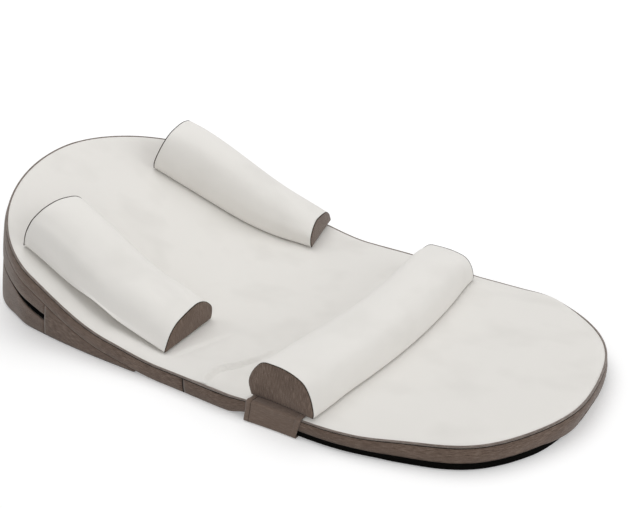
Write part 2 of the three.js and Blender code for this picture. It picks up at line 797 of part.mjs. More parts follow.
function strapSection(tuckX, halfWidth, runLow, thicker) {
  const topX = halfWidth + touchGap - strap.topRadius;
  const topH = mat.top + touchGap - strap.topRadius;
  const floorX = halfWidth + touchGap - strap.floorRadius;
  const floorH = runLow + strap.thickness + strap.floorRadius;
  return [
    [tuckX, topH + strap.topRadius + thicker],
    ...arcPoints(topX, topH, strap.topRadius + thicker, Math.PI / 2, 0),
    ...arcPoints(floorX, floorH, strap.floorRadius + thicker, 0, -Math.PI / 2),
    [-strap.overlap, runLow + strap.thickness - thicker],
  ];
}

function strapHalf(sign, runLow) {
  const steps = Array.from({ length: strapStations + 1 }, (_, k) => k / strapStations - 1 / 2);
  const endX = legLength / 2 + sign * legMiddle;
  const tuckX = endX - strap.tuck;
  return skin(steps.map((share) => {
    const s = strapMiddle + share * strap.width;
    const halfWidth = halfWidthAt(s);
    const inner = strapSection(tuckX, halfWidth, runLow, 0);
    const outer = strapSection(tuckX, halfWidth, runLow, strap.thickness);
    return [...inner, ...outer.reverse()].map(([x, h]) => place(sign * x, s, h));
  }));
}

function closurePatch(low, thickness) {
  const halfX = strap.overlap - touchGap;
  const halfS = strap.width / 2 - strap.patchInset;
  return skin([-halfX, halfX].map((x) => [
    place(x, strapMiddle - halfS, low),
    place(x, strapMiddle - halfS, low + thickness),
    place(x, strapMiddle + halfS, low + thickness),
    place(x, strapMiddle + halfS, low),
  ]));
}

add('leg_strap_right', strapHalf(-1, rightRunLow), greyCloth);
add('leg_strap_left', strapHalf(1, leftRunLow), greyCloth);
add('leg_strap_hook', closurePatch(hookLow, strap.hookThickness), blackCloth);
add('leg_strap_loop', closurePatch(loopLow, strap.loopThickness), blackCloth);

// The origin is on the floor under the middle of the whole part
const bounds = new THREE.Box3().setFromObject(lounger);
const middle = bounds.getCenter(new THREE.Vector3());
lounger.position.set(-middle.x, -middle.y, 0);

export default lounger;
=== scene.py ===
import math

import bmesh
import bpy
import numpy as np
from mathutils import Matrix, Vector


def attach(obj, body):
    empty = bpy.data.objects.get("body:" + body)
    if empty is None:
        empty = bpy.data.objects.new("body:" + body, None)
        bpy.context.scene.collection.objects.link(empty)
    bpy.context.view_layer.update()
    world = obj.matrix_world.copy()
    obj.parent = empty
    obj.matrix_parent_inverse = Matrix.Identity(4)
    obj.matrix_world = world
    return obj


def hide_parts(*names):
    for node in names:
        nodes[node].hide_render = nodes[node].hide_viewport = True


# An infant lounger. Metres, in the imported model's frame: the right side is at -X,
# the head end at +Y. A place on the mat is x across, s along its underside from the foot tip
# and h square to it.
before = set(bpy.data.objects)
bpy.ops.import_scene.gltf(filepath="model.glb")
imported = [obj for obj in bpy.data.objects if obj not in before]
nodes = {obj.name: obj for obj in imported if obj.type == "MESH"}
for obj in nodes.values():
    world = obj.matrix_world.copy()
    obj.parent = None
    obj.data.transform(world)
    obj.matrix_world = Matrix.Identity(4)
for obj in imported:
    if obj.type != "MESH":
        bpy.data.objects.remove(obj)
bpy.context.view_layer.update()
scene = bpy.context.scene
print("frame loaded")

# The photograph's camera
view = {
    "azimuth": -52.403,
    "elevation": 24.27,
    "roll": -1.782,
    "distance": 1.402,
    "target": (0.1745, 0.0575, 0.0),
    "focal": 52.48,
    "sensor": 36.0,
}


def aimCamera():
    azimuth, elevation, roll = (math.radians(view[key]) for key in ("azimuth", "elevation", "roll"))
    level = math.cos(elevation)
    back = Vector((math.sin(azimuth) * level, -math.cos(azimuth) * level, math.sin(elevation)))
    right = Vector((math.cos(azimuth), math.sin(azimuth), 0))
    up = back.cross(right)
    turnedRight = right * math.cos(roll) + up * math.sin(roll)
    turnedUp = up * math.cos(roll) - right * math.sin(roll)
    data = bpy.data.cameras.new("camera")
    data.sensor_width, data.lens = view["sensor"], view["focal"]
    data.clip_start, data.clip_end = 0.05, 30
    camera = bpy.data.objects.new("camera", data)
    turn = Matrix((turnedRight, turnedUp, back)).transposed().to_4x4()
    camera.matrix_world = Matrix.Translation(Vector(view["target"]) + back * view["distance"]) @ turn
    scene.collection.objects.link(camera)
    scene.camera = camera


aimCamera()

# Sizes repeated from the solids
origin = {"x": 0.0037887, "y": 0.4320025}
mat = {
    "width": 0.430,
    "length": 0.855,
    "footAxis": 0.378,
    "headAxis": 0.189,
    "footPower": 2.75,
    "headPower": 1.85,
    "bendStart": 0.434,
    "bendLength": 0.210,
    "headAngle": math.radians(27),
    "underside": 0.007,
    "top": 0.029,
    "seam_shade": 0.393,
}
leg = {
    "length": 0.391,
    "middle": -0.0075,
    "depth": 0.088,
    "height": 0.048,
    "s": 0.2675,
    "bow": 0.0195,
    "seat": 0.0305,
    "farShort": 0.006,
    "low": 0.0015,
    "farLow": 0.0095,
}
strapMiddle = 0.2705
dropStart, dropEnd = 0.306, 0.336
# The mat's edge is drawn in and pressed down by the strap, and wider over the wedge
outline = {"waist": 0.0035, "waistHalf": 0.050, "headGain": 0.005, "gainFrom": 0.380, "gainTo": 0.560}
drop = {"depth": 0.0064, "backFrom": 0.425, "backTo": 0.510}
pressed = {
    "depth": 0.0058,
    "leftDepth": 0.0082,
    "start": 0.070,
    "full": 0.170,
    "innerX": 0.150,
    "outerX": 0.212,
    "dent": 0.0015,
    "dentInner": (0.120, 0.180),
    "dentOuter": (0.2045, 0.2105),
}
askew = {"most": 0.011, "start": 0.100, "full": 0.200, "back": 0.340, "end": 0.430}
bolster = {
    "seat": 0.0306,
    "length": 0.266,
    "footWidth": 0.100,
    "headWidth": 0.097,
    "footHeight": 0.0325,
    "headHeight": 0.0615,
    "crown": 0.011,
    "outerLift": 0.007,
    "midLift": 0.009,
    "footSkew": 0.007,
}
rightPlace = {"sign": -1, "x": 0.1435, "s": 0.578, "turn": 0.0, "extra": 0.0, "crown": 0.0}
leftPlace = {"sign": 1, "x": 0.147, "s": 0.628, "turn": math.radians(13.5), "extra": 0.007, "crown": 0.004}
bendEnd = mat["bendStart"] + mat["bendLength"]
headStart = mat["length"] - mat["headAxis"]


def smoothStep(value, low, high):
    share = np.clip((value - low) / (high - low), 0, 1)
    return share * share * (3 - 2 * share)


def bell(value, centre, half):
    # 1 at the centre, with a Gaussian fall to both sides
    return np.exp(-((value - centre) / half) ** 2)


def angleAt(s):
    return mat["headAngle"] * smoothStep(s, mat["bendStart"], bendEnd)


# The side view: flat, then an even bend summed in short steps, then straight
bendKnots = np.linspace(mat["bendStart"], bendEnd, 241)
bendTurns = angleAt((bendKnots[1:] + bendKnots[:-1]) / 2)
bendStep = mat["bendLength"] / 240
spineS = np.concatenate([[-1], bendKnots, [bendEnd + 1]])
spineY = np.concatenate([[0], np.cumsum(np.cos(bendTurns) * bendStep)]) + mat["bendStart"]
spineZ = np.concatenate([[0], np.cumsum(np.sin(bendTurns) * bendStep)])
spineY = np.concatenate([[-1], spineY, [spineY[-1] + math.cos(mat["headAngle"])]])
spineZ = np.concatenate([[0], spineZ, [spineZ[-1] + math.sin(mat["headAngle"])]])


def softShare(value):
    # From 0 to 1 in a straight line, with both corners rounded
    soft = 0.12
    lower, upper = (
        (np.clip(value - end, -soft, soft) + soft) ** 2 / (4 * soft) + np.maximum(value - end - soft, 0)
        for end in (0, 1)
    )
    return lower - upper


def widthShareAt(s):
    # The mat's width over its even width: less a bell at the strap, more from the wedge's toe on
    waist = outline["waist"] * bell(s, strapMiddle, outline["waistHalf"])
    gain = outline["headGain"] * smoothStep(s, outline["gainFrom"], outline["gainTo"])
    return 1 + (gain - waist) / (mat["width"] / 2)


def askewAt(x, s):
    # How far the cloth under the leg bolster is skewed along the mat, in a straight line across it
    along = smoothStep(s, askew["start"], askew["full"]) * (1 - smoothStep(s, askew["back"], askew["end"]))
    return askew["most"] * along * np.clip(2 * (x - leg["middle"]) / leg["length"], -1, 1)


def pressedAt(x, s):
    # How far the top is pressed down: a rounded slope to the edge, and a shallow dent under the bolster's ends
    away = abs(x) * widthShareAt(s)
    across = softShare((away - pressed["innerX"]) / (pressed["outerX"] - pressed["innerX"]))
    along = smoothStep(s, pressed["start"], pressed["full"]) * (1 - smoothStep(s, dropStart, dropEnd))
    dent = pressed["dent"] * smoothStep(away, *pressed["dentInner"]) * (1 - smoothStep(away, *pressed["dentOuter"]))
    return (np.where(x < 0, pressed["depth"], pressed["leftDepth"]) * across + dent) * along


def place(x, s, h):
    # The spine's point at s, moved across by x and square to the spine by h
    x, s, h = np.broadcast_arrays(*(np.asarray(v, float) for v in (x, s, h)))
    spineAt = s + askewAt(x, s)
    angle = angleAt(spineAt)
    level = h - pressedAt(x, s) * np.clip((h - mat["underside"]) / (mat["top"] - mat["underside"]), 0, 1)
    back = smoothStep(s, drop["backFrom"], drop["backTo"])
    lowered = drop["depth"] * smoothStep(s, dropStart, dropEnd) * (1 - back)
    y = np.interp(spineAt, spineS, spineY) - level * np.sin(angle) - origin["y"]
    z = np.interp(spineAt, spineS, spineZ) + level * np.cos(angle) - lowered
    return np.stack([x * widthShareAt(s) - origin["x"], y, z], -1)


# The edge: half a superellipse at each end with straight sides between, as a table by length
def edgeTable():
    ends, between = 3000, 600
    turn = np.linspace(0, math.pi / 2, ends)
    foot, head = 2 / mat["footPower"], 2 / mat["headPower"]
    footAlong, footWidth = np.cos(turn) ** foot, np.sin(turn) ** foot
    headAlong, headWidth = np.sin(turn) ** head, np.cos(turn) ** head
    sides = np.linspace(mat["footAxis"], headStart, between)
    width = np.concatenate([footWidth, np.ones(between), headWidth])
    base = np.concatenate([np.full(ends, mat["footAxis"]), sides, np.full(ends, headStart)])
    along = np.concatenate([-footAlong, np.zeros(between), headAlong])
    reach = np.where(along < 0, mat["footAxis"], mat["headAxis"])
    x, s = width * mat["width"] / 2, base + reach * along
    length = np.concatenate([[0], np.cumsum(np.hypot(np.diff(x), np.diff(s)))])
    return {"length": length, "width": width, "base": base, "along": along, "reach": reach, "s": s}


halfEdge = edgeTable()
halfLength = halfEdge["length"][-1]
# Where the soft edge stands out or in: length from the foot tip (right side below 0), half width, amount
edgeSwells = (
    (-0.175, 0.055, 0.0062), (0.262, 0.036, 0.0085), (0.345, 0.028, -0.0030), (-0.020, 0.056, 0.0063),
)


def edgeLengthAt(sign, s):
    # Length round the edge from the foot tip, up the left side and down the right
    length = np.interp(s, halfEdge["s"], halfEdge["length"])
    return length if sign > 0 else 2 * halfLength - length


def edgeRun(start, end, spacing, closed=False):
    # Even lengths round the edge
    count = int(math.ceil(abs(end - start) / spacing))
    return np.linspace(start, end, count + 1)[:count if closed else None]


def edgeAt(length, inset):
    # The edge's x and s at a length round it, moved in by the inset
    length, inset = np.broadcast_arrays(length, inset)
    wrapped = np.mod(length, 2 * halfLength)
    folded = np.where(wrapped <= halfLength, wrapped, 2 * halfLength - wrapped)
    width, base, along, reach = (
        np.interp(folded, halfEdge["length"], halfEdge[key]) for key in ("width", "base", "along", "reach")
    )
    signed = np.where(wrapped <= halfLength, wrapped, wrapped - 2 * halfLength)
    inset = inset - sum(most * bell(signed, centre, half) for centre, half, most in edgeSwells)
    x = np.where(wrapped <= halfLength, 1.0, -1.0) * (mat["width"] / 2 - inset) * width
    return x, base + (reach - inset) * along


def toAxis(x, s, share):
    # Drawn in to the middle line between the two ends' axes
    axis = np.clip(s, mat["footAxis"], headStart)
    return share * x, axis + share * (s - axis)


def ripple(x, s, size, seed):
    # Sum of eight seeded plane waves of about the given length, from -1 to 1
    rng = np.random.default_rng(seed)
    total = 0
    for _ in range(8):
        turn, phase, scale = rng.uniform(0, 2 * math.pi), rng.uniform(0, 2 * math.pi), rng.uniform(0.7, 1.5)
        total = total + np.sin((x * math.cos(turn) + s * math.sin(turn)) * 2 * math.pi * scale / size + phase)
    return total / 8


# Meshes
def rise(values):
    # Length along a row of points, from its start
    return np.concatenate([[0], np.cumsum(np.linalg.norm(np.diff(values, axis=0), axis=1))])


def addPiece(name, points, faces, corners, material, body="base"):
    # Points and faces made an object, with each face corner's place on the cloth map
    mesh = bpy.data.meshes.new(name)
    mesh.from_pydata(np.asarray(points).reshape(-1, 3).tolist(), [], faces)
    layer = mesh.uv_layers.new(name="clothMap")
    layer.data.foreach_set("uv", np.concatenate([np.asarray(c).reshape(-1, 2) for c in corners]).ravel())
    mesh.polygons.foreach_set("use_smooth", np.ones(len(faces), bool))
    mesh.materials.append(material)
    mesh.validate()
    piece = bpy.data.objects.new(name, mesh)
    scene.collection.objects.link(piece)
    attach(piece, body)
    return piece


def gridFaces(rows, columns, closeRows=False):
    # Quads between neighbouring rows and right round them, with each corner's row and column
    row = np.arange(rows if closeRows else rows - 1)[:, None]
    column = np.arange(columns)[None, :]
    nextRow, nextColumn = (row + 1) % rows, (column + 1) % columns
    quads = np.stack(np.broadcast_arrays(
        row * columns + column, nextRow * columns + column,
        nextRow * columns + nextColumn, row * columns + nextColumn,
    ), -1).reshape(-1, 4)
    spots = np.stack(np.broadcast_arrays(row, column, row + 1, column, row + 1, column + 1, row, column + 1), -1)
    return quads, spots.reshape(-1, 4, 2)


def loft(name, loops, material, body="base", closeRows=False, caps=False, streak="across"):
    # A surface through rows of points, mapped in metres along the rows and along the columns
    loops = np.asarray(loops)
    rows, columns = loops.shape[:2]
    quads, spots = gridFaces(rows, columns, closeRows)
    middle = loops.mean(axis=1)
    along = rise(np.concatenate([loops[:, 0], loops[:1, 0]]))
    around = rise(np.concatenate([loops[rows // 2], loops[rows // 2][:1]]))
    mapped = np.stack([along[spots[..., 0]], around[spots[..., 1]]], -1)
    if streak == "along":
        mapped = mapped[..., ::-1]
    points, faces, corners = [loops.reshape(-1, 3)], quads.tolist(), [mapped]
    if caps:
        for row, flip in ((0, False), (rows - 1, True)):
            centre = sum(len(p) for p in points)
            points.append(middle[row][None, :])
            ring = row * columns + np.arange(columns)
            pair = np.stack([ring, np.roll(ring, -1)], -1)
            pair = pair[:, ::-1] if flip else pair
            fan = np.concatenate([pair, np.full((columns, 1), centre)], 1)
            faces += fan.tolist()
            corners.append(np.repeat(np.array([[[0, 0], [0.002, 0], [0, 0.002]]]), columns, 0))
    return addPiece(name, np.concatenate(points), faces, corners, material, body)


def sewn(name, points, material, *solids, body="base", **how):
    return finished(loft(name, points, material, body, **how), *solids)


def disc(name, rings, flat, material, body="base"):
    # Rings one inside the other, the first and last shrunk to a line, mapped flat by x and s
    rows, columns = rings.shape[:2]
    quads, spots = gridFaces(rows, columns)
    mapped = flat[spots[..., 0], spots[..., 1] % columns]
    return addPiece(name, rings.reshape(-1, 3), quads.tolist(), [mapped], material, body)


def finished(piece, *solids):
    # Stands for its solids, with points in one place joined and the faces turned outwards
    if solids:
        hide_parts(*solids)
    work = bmesh.new()
    work.from_mesh(piece.data)
    bmesh.ops.remove_doubles(work, verts=work.verts, dist=1e-6)
    bmesh.ops.recalc_face_normals(work, faces=work.faces)
    work.to_mesh(piece.data)
    work.free()
    return piece


print("helpers ready")

# Materials
def newMaterial(name, values):
    material = bpy.data.materials.new(name)
    material.use_nodes = True
    tree = material.node_tree
    shader = tree.nodes["Principled BSDF"]
    for key, value in values.items():
        shader.inputs[key].default_value = value
    return material, tree, shader


def addNode(tree, kind, settings=(), **inputs):
    # Inputs are given by name, or as i0, i1 and so on, by place
    node = tree.nodes.new("ShaderNode" + kind)
    for key, value in dict(settings).items():
        setattr(node, key, value)
    for key, value in inputs.items():
        socket = node.inputs[int(key[1:]) if key[1:].isdigit() else key]
        if isinstance(value, bpy.types.NodeSocket):
            tree.links.new(value, socket)
        else:
            socket.default_value = value
    return node


def mathNode(tree, operation, a, b=0.0):
    return addNode(tree, "Math", {"operation": operation}, i0=a, i1=b).outputs[0]


def mapScaled(tree, across, along):
    # The cloth map's metres turned into cells of the given size
    place = addNode(tree, "UVMap", {"uv_map": "clothMap"}).outputs[0]
    scale = (1 / across, 1 / along, 1)
    return addNode(tree, "VectorMath", {"operation": "MULTIPLY"}, i0=place, i1=scale).outputs[0]


def noise(tree, vector, detail=2.0, roughness=0.5):
    return addNode(tree, "TexNoise", Vector=vector, Scale=1.0, Detail=detail, Roughness=roughness).outputs[0]


def ramp(tree, factor, stops):
    node = addNode(tree, "ValToRGB", Fac=factor)
    band = node.color_ramp
    for position, color in stops[1:-1]:
        band.elements.new(position)
    for element, (position, color) in zip(band.elements, stops):
        element.position, element.color = position, (*color, 1)
    return node.outputs[0]


def threads(tree, pitch):
    # Crossed ridges at the yarn's pitch, for the weave's height
    vector = mapScaled(tree, pitch, pitch)
    parts = addNode(tree, "SeparateXYZ", i0=vector).outputs
    ridges = [mathNode(tree, "SINE", mathNode(tree, "MULTIPLY", part, 2 * math.pi)) for part in parts[:2]]
    return mathNode(tree, "MULTIPLY", ridges[0], ridges[1])


def paint(tree, shader, factor, stops):
    tree.links.new(ramp(tree, factor, stops), shader.inputs["Base Color"])


def weighted(tree, layers):
    # The sum of values, each times its weight
    total = None
    for value, weight in layers:
        part = mathNode(tree, "MULTIPLY", value, weight)
        total = part if total is None else mathNode(tree, "ADD", total, part)
    return total


def bumpFrom(tree, shader, layers):
    # Adds heights in metres, and feeds them to the shader as one bump
    bump = addNode(tree, "Bump", Height=weighted(tree, layers), Distance=1.0, Strength=1.0)
    tree.links.new(bump.outputs[0], shader.inputs["Normal"])


def greyMelange(name, dark, middle, light, sheen=0.25):
    # Heathered cloth: long pale and dark slubs along the yarn over a fine weave
    values = {"Roughness": 0.85, "Specular IOR Level": 0.25, "Sheen Weight": sheen, "Sheen Roughness": 0.45}
    material, tree, shader = newMaterial(name, values)
    slubs = noise(tree, mapScaled(tree, 0.0009, 0.009), 2.0, 0.6)
    specks = noise(tree, mapScaled(tree, 0.0007, 0.0013), 1.0)
    patches = noise(tree, mapScaled(tree, 0.03, 0.05))
    mixed = weighted(tree, [(slubs, 0.62), (specks, 0.2), (patches, 0.18)])
    paint(tree, shader, mixed, [(0.36, dark), (0.5, middle), (0.64, light)])
    bumpFrom(tree, shader, [(threads(tree, 0.0011), 0.00004), (slubs, 0.0002)])
    return material


def whiteKnit(name, shade, tint):
    # Fine jersey: columns of small loops, with a faint change of tone
    values = {"Roughness": 0.8, "Specular IOR Level": 0.3, "Sheen Weight": 0.15, "Sheen Roughness": 0.5}
    material, tree, shader = newMaterial(name, values)
    patches = noise(tree, mapScaled(tree, 0.06, 0.08))
    paint(tree, shader, patches, [(0.3, shade), (0.5, tint), (0.7, tint)])
    fuzz = noise(tree, mapScaled(tree, 0.0006, 0.0006))
    bumpFrom(tree, shader, [(threads(tree, 0.0012), 0.00003), (fuzz, 0.00005)])
    return material


def blackWeb(name, dark, light, pitch, depth):
    # Dense black cloth with a plain weave
    material, tree, shader = newMaterial(name, {"Roughness": 0.95, "Specular IOR Level": 0.04})
    grain = noise(tree, mapScaled(tree, 0.001, 0.001))
    paint(tree, shader, grain, [(0.35, dark), (0.5, dark), (0.7, light)])
    bumpFrom(tree, shader, [(threads(tree, pitch), depth)])
    return material


def cellsOf(tree, vector, **more):
    return addNode(tree, "TexVoronoi", Vector=vector, Scale=1.0, **more).outputs[0]


def hookTape(name):
    # Rows of stiff hooks that stand up from black tape, with painted shade between them
    material, tree, shader = newMaterial(name, {"Roughness": 0.55})
    cells = cellsOf(tree, mapScaled(tree, 0.0016, 0.0013), Randomness=0.15)
    # Palest on each hook, darker down into the tape between them: painted shade
    stops = [(0.1, (0.03, 0.028, 0.026)), (0.3, (0.012, 0.011, 0.01)), (0.6, (0.006, 0.006, 0.005))]
    paint(tree, shader, cells, stops)
    bumpFrom(tree, shader, [(cells, -0.0004)])
    return material


def objectScaled(tree, size):
    place = addNode(tree, "TexCoord").outputs["Object"]
    return addNode(tree, "VectorMath", {"operation": "SCALE"}, i0=place, Scale=1 / size).outputs[0]


def zipPlastic(name):
    # Moulded plastic: a faint grain and rubbed, paler patches
    material, tree, shader = newMaterial(name, {})
    grain = noise(tree, objectScaled(tree, 0.0004))
    worn = noise(tree, objectScaled(tree, 0.004), 3.0)
    stops = [(0.35, (0.006, 0.006, 0.006)), (0.55, (0.011, 0.0105, 0.01)), (0.75, (0.03, 0.029, 0.028))]
    paint(tree, shader, worn, stops)
    roughness = mathNode(tree, "ADD", mathNode(tree, "MULTIPLY", worn, 0.25), 0.3)
    tree.links.new(roughness, shader.inputs["Roughness"])
    bumpFrom(tree, shader, [(grain, 0.00003)])
    return material


def soleRubber(name):
    # Black rubber with rows of round grip studs
    material, tree, shader = newMaterial(name, {"Roughness": 0.75})
    stud = mathNode(tree, "LESS_THAN", cellsOf(tree, objectScaled(tree, 0.005), Randomness=0.0), 0.3)
    grain = noise(tree, objectScaled(tree, 0.0007))
    stops = [(0.35, (0.008, 0.008, 0.008)), (0.55, (0.014, 0.013, 0.012)), (0.7, (0.025, 0.024, 0.022))]
    paint(tree, shader, grain, stops)
    bumpFrom(tree, shader, [(stud, 0.0006), (grain, 0.00005)])
    return material


def foamCells(name):
    # Open-cell foam: small irregular pores, darker in their hollows as painted shade
    material, tree, shader = newMaterial(name, {"Roughness": 0.95})
    pores = cellsOf(tree, objectScaled(tree, 0.0012))
    # Darker towards each pore's middle, where the bump is lowest: painted shade
    paint(tree, shader, pores, [(0.1, (0.52, 0.46, 0.33)), (0.4, (0.74, 0.68, 0.53)), (0.8, (0.8, 0.74, 0.6))])
    bumpFrom(tree, shader, [(pores, 0.0004)])
    return material


greyCloth = greyMelange("greyCloth", (0.074, 0.049, 0.036), (0.126, 0.087, 0.066), (0.205, 0.150, 0.117))
strapCloth = greyMelange("strapCloth", (0.125, 0.088, 0.068), (0.154, 0.111, 0.087), (0.188, 0.138, 0.110))
pipingCloth = greyMelange("pipingCloth", (0.115, 0.09, 0.075), (0.185, 0.15, 0.13), (0.28, 0.24, 0.215), 0.4)
# Dark thread: the seams' own thread, and painted shade where it lies in the grooves under the piping and round the
# bolsters' ends
threadAndShade = greyMelange("threadAndShade", (0.014, 0.0095, 0.007), (0.026, 0.018, 0.0135), (0.05, 0.037, 0.029), 0.0)
whiteCover = whiteKnit("whiteCover", (0.725, 0.705, 0.67), (0.765, 0.745, 0.71))
whiteSleeve = whiteKnit("whiteSleeve", (0.745, 0.725, 0.69), (0.78, 0.76, 0.725))
blackCloth = blackWeb("blackCloth", (0.002, 0.0018, 0.0015), (0.006, 0.0055, 0.005), 0.0012, 0.00005)
zipTape = blackWeb("zipTape", (0.003, 0.003, 0.003), (0.009, 0.009, 0.009), 0.0009, 0.00004)
blackHooks = hookTape("blackHooks")
blackPlastic = zipPlastic("blackPlastic")
gripRubber = soleRubber("gripRubber")
foam = foamCells("foam")
print("materials made")

# The mat's padded body and its white cover, which rolls down inside the piping
pad = {
    "rollStart": 0.020,
    "lip": 0.0027,
    "drop": 0.0019,
    "power": 2.6,
    "ringCount": 64,
    "spacing": 0.0030,
    "bottomInset": 0.006,
    "bottom": 0.0092,
    "beside": 0.0010,
    "besideOut": 0.052,
    "besideHalf": 0.011,
    "puff": 0.0032,
}
# Folds of the cover on the right, before the strap: points across and along, depth, ridge and half width
coverFolds = (
    {
        "path": (
            (-0.216, 0.346), (-0.2137, 0.3488), (-0.2024, 0.3584), (-0.1884, 0.3616), (-0.1756, 0.3576),
            (-0.1642, 0.3483), (-0.1512, 0.3441), (-0.1391, 0.3389), (-0.112, 0.335),
        ),
        "depth": 0.0022,
        "ridge": 0.0044,
        "half": 0.0028,
        "ends": (0.0, 0.04),
    },
    {
        "path": ((-0.190, 0.425), (-0.150, 0.415), (-0.104, 0.404)),
        "depth": 0.0014,
        "ridge": 0.0010,
        "half": 0.0032,
        "ends": (0.02, 0.03),
    },
)


def foldAt(x, s, fold):
    # A groove with a ridge on its head side, by the signed distance from a smooth path
    knots = np.array(fold["path"])
    count = 60
    even = np.linspace(0, len(knots) - 1, count)
    line = np.stack([np.interp(even, np.arange(len(knots)), knots[:, k]) for k in (0, 1)], -1)
    gap = np.stack([x, s], -1)[..., None, :] - line
    nearest = np.linalg.norm(gap, axis=-1).argmin(-1)
    offset = np.take_along_axis(gap, nearest[..., None, None], -2)[..., 0, :]
    away = np.linalg.norm(offset, axis=-1) * np.where(offset[..., 1] >= 0, 1, -1)
    share = nearest / (count - 1)
    start, end = fold["ends"]
    length = np.linalg.norm(line[-1] - line[0])
    fade = np.clip(share * length / max(start, 1e-4), 0, 1) * np.clip((1 - share) * length / max(end, 1e-4), 0, 1)
    half = fold["half"]
    groove = -fold["depth"] * bell(away, 0, half)
    crest = 1.6 * half
    falling = np.exp(-np.clip(away - crest, 0, None) / (3.5 * half))
    ridge = fold["ridge"] * smoothStep(away, 0, crest) * falling
    return (groove + ridge) * np.sqrt(fade)


def besideBolster(x, s, seat):
    # The cover bulges up beside a side bolster, where the bolster's outer edge stands clear of it
    away, ahead = seat["sign"] * x - seat["x"], s - seat["s"]
    outward = away * math.cos(seat["turn"]) + ahead * math.sin(seat["turn"])
    share = (ahead * math.cos(seat["turn"]) - away * math.sin(seat["turn"])) / bolster["length"] + 0.5
    full = np.clip(1 - (2 * share - 1) ** 4, 0, 1)
    return pad["beside"] * full * bell(outward, pad["besideOut"], pad["besideHalf"])


def puffedRim(x, s):
    # The cover is fuller on the left side at the foot, where it stands over the piping
    return pad["puff"] * bell(x, 0.185, 0.030) * bell(s, 0.118, 0.036)


def coverRelief(x, s):
    # Height added to the cover: two sizes of ripple, the folds, and its fullness at the rim and the bolsters
    x, s = x * widthShareAt(s), s + askewAt(x, s)
    total = 0.00035 * ripple(x, s, 0.11, 3) + 0.0002 * ripple(x, s, 0.045, 5)
    near = (x < -0.09) & (x > -0.235) & (s > 0.31) & (s < 0.45)
    folds = np.zeros_like(total)
    for fold in coverFolds:
        folds[near] += foldAt(x[near], s[near], fold)
    return total + folds + puffedRim(x, s) + besideBolster(x, s, rightPlace) + besideBolster(x, s, leftPlace)


def padRings():
    # Rings from the middle line out over the roll at the rim, down the side and back to the middle below
    run = edgeRun(0, 2 * halfLength, pad["spacing"], closed=True)
    rollX, rollS = edgeAt(run, pad["rollStart"])
    innerX, innerS = toAxis(rollX, rollS, np.linspace(0, 1, pad["ringCount"])[:-1, None])
    insets = np.array([0.020, 0.0175, 0.015, 0.0125, 0.0102, 0.0082, 0.0065, 0.0051, 0.0040, 0.0033, 0.0027])
    share = (pad["rollStart"] - insets) / (pad["rollStart"] - pad["lip"])
    rimX, rimS = edgeAt(run, insets[:, None])
    under = np.array([(0.0028, 0.0256), (0.0045, 0.0240), (pad["bottomInset"], 0.0115), (0.0075, pad["bottom"])])
    underX, underS = edgeAt(run, under[:, :1])
    closeX, closeS = toAxis(underX[-1], underS[-1], np.array([0.5, 0.0])[:, None])
    x = np.concatenate([innerX, rimX, underX, closeX])
    s = np.concatenate([innerS, rimS, underS, closeS])
    high = np.concatenate([np.full(len(innerX), mat["top"]), mat["top"] - pad["drop"] * share ** pad["power"]])
    h = np.concatenate([high, under[:, 1], np.full(2, pad["bottom"])])[:, None] + 0 * x
    top = len(high)
    fade = 1 - 0.3 * smoothStep(mat["top"] - h[:top], 0, pad["drop"])
    h[:top] += coverRelief(x[:top], s[:top]) * fade
    return x, s, h


padX, padS, padH = padRings()
matPad = disc("mat_pad", place(padX, padS, padH), np.stack([padX, padS], -1), whiteCover)
finished(matPad, "mat_core", "mat_top_panel")


def bunchedAt(run):
    # How far the bunched cover pushes the near edge, by the distance round the edge
    return bell(run, edgeLengthAt(-1, 0.352), 0.016)


# Side band: cloth between the piping and the underside, a little full between its seams
band = {
    "bulge": 0.0007,
    "spacing": 0.004,
    "seamPull": 0.0009,
    "seamReach": 0.0025,
    "low": 0.0072,
    "tall": 0.0182,
    "slack": 0.0004,
    "bunchDrop": 0.0006,
    "tipLean": 0.0075,
    "tipDrop": 0.0054,
}
bandProfile = np.array([
    (0.0048, 0.0072), (0.0022, 0.0070), (0.0008, 0.0070), (0.0004, 0.0074), (0.0002, 0.0085),
    (0.0001, 0.0110), (0.0, 0.0140), (0.0, 0.0175), (0.0002, 0.0205), (0.0003, 0.0228),
    (0.0005, 0.0242), (0.0009, 0.0250), (0.0020, 0.0253), (0.0040, 0.0246), (0.0048, 0.0215),
])


def bandFullAt(height):
    # Half a sine over the band's height
    return np.sin(math.pi * (height - band["low"]) / band["tall"])


def bandPiece(name, start, end, node):
    # The band's profile along the edge: drawn in at its seams, leaning in and lower at the foot tip
    run = edgeRun(start, end, band["spacing"])
    fromEnd = np.minimum(np.abs(run - start), np.abs(run - end))
    pulled = band["seamPull"] * bell(fromEnd, 0, band["seamReach"])
    inset, height = bandProfile[:, 0], bandProfile[:, 1]
    full = np.clip(bandFullAt(height), 0, 1)
    slack = band["slack"] * ripple(run, 0.3, 0.05, 9)[:, None] * full
    insets = inset + pulled[:, None] * (0.35 + 0.65 * full) * (inset < 0.004) - band["bulge"] * full - slack
    leaning = band["tipLean"] * bell(run, -0.004, 0.042)[:, None] * np.clip((0.0190 - height) / 0.0190, 0, 1)
    x, s = edgeAt(run[:, None], insets + leaning)
    atTip = 1 - smoothStep(np.abs(run), 0.015, 0.100)
    lowered = band["tipDrop"] * atTip[:, None] * np.clip((0.0150 - height) / 0.0075, 0, 1)
    h = height - band["bunchDrop"] * bunchedAt(run)[:, None] * full - lowered
    return sewn(name, place(x, s, h), greyCloth, node, caps=True, streak="along")


def bandSeam(name, sign):
    # The dark line of thread where the two bands meet
    run = edgeLengthAt(sign, mat["seam_shade"]) + np.array([-0.0007, -0.0004, 0.0004, 0.0007])
    height = np.linspace(0.0074, 0.0250, 24)[:, None]
    inset = np.array([0.0012, 0.0001, 0.0001, 0.0012]) - band["bulge"] * 0.8 * bandFullAt(height)
    return sewn(name, place(*edgeAt(run, inset), height), threadAndShade, caps=True)


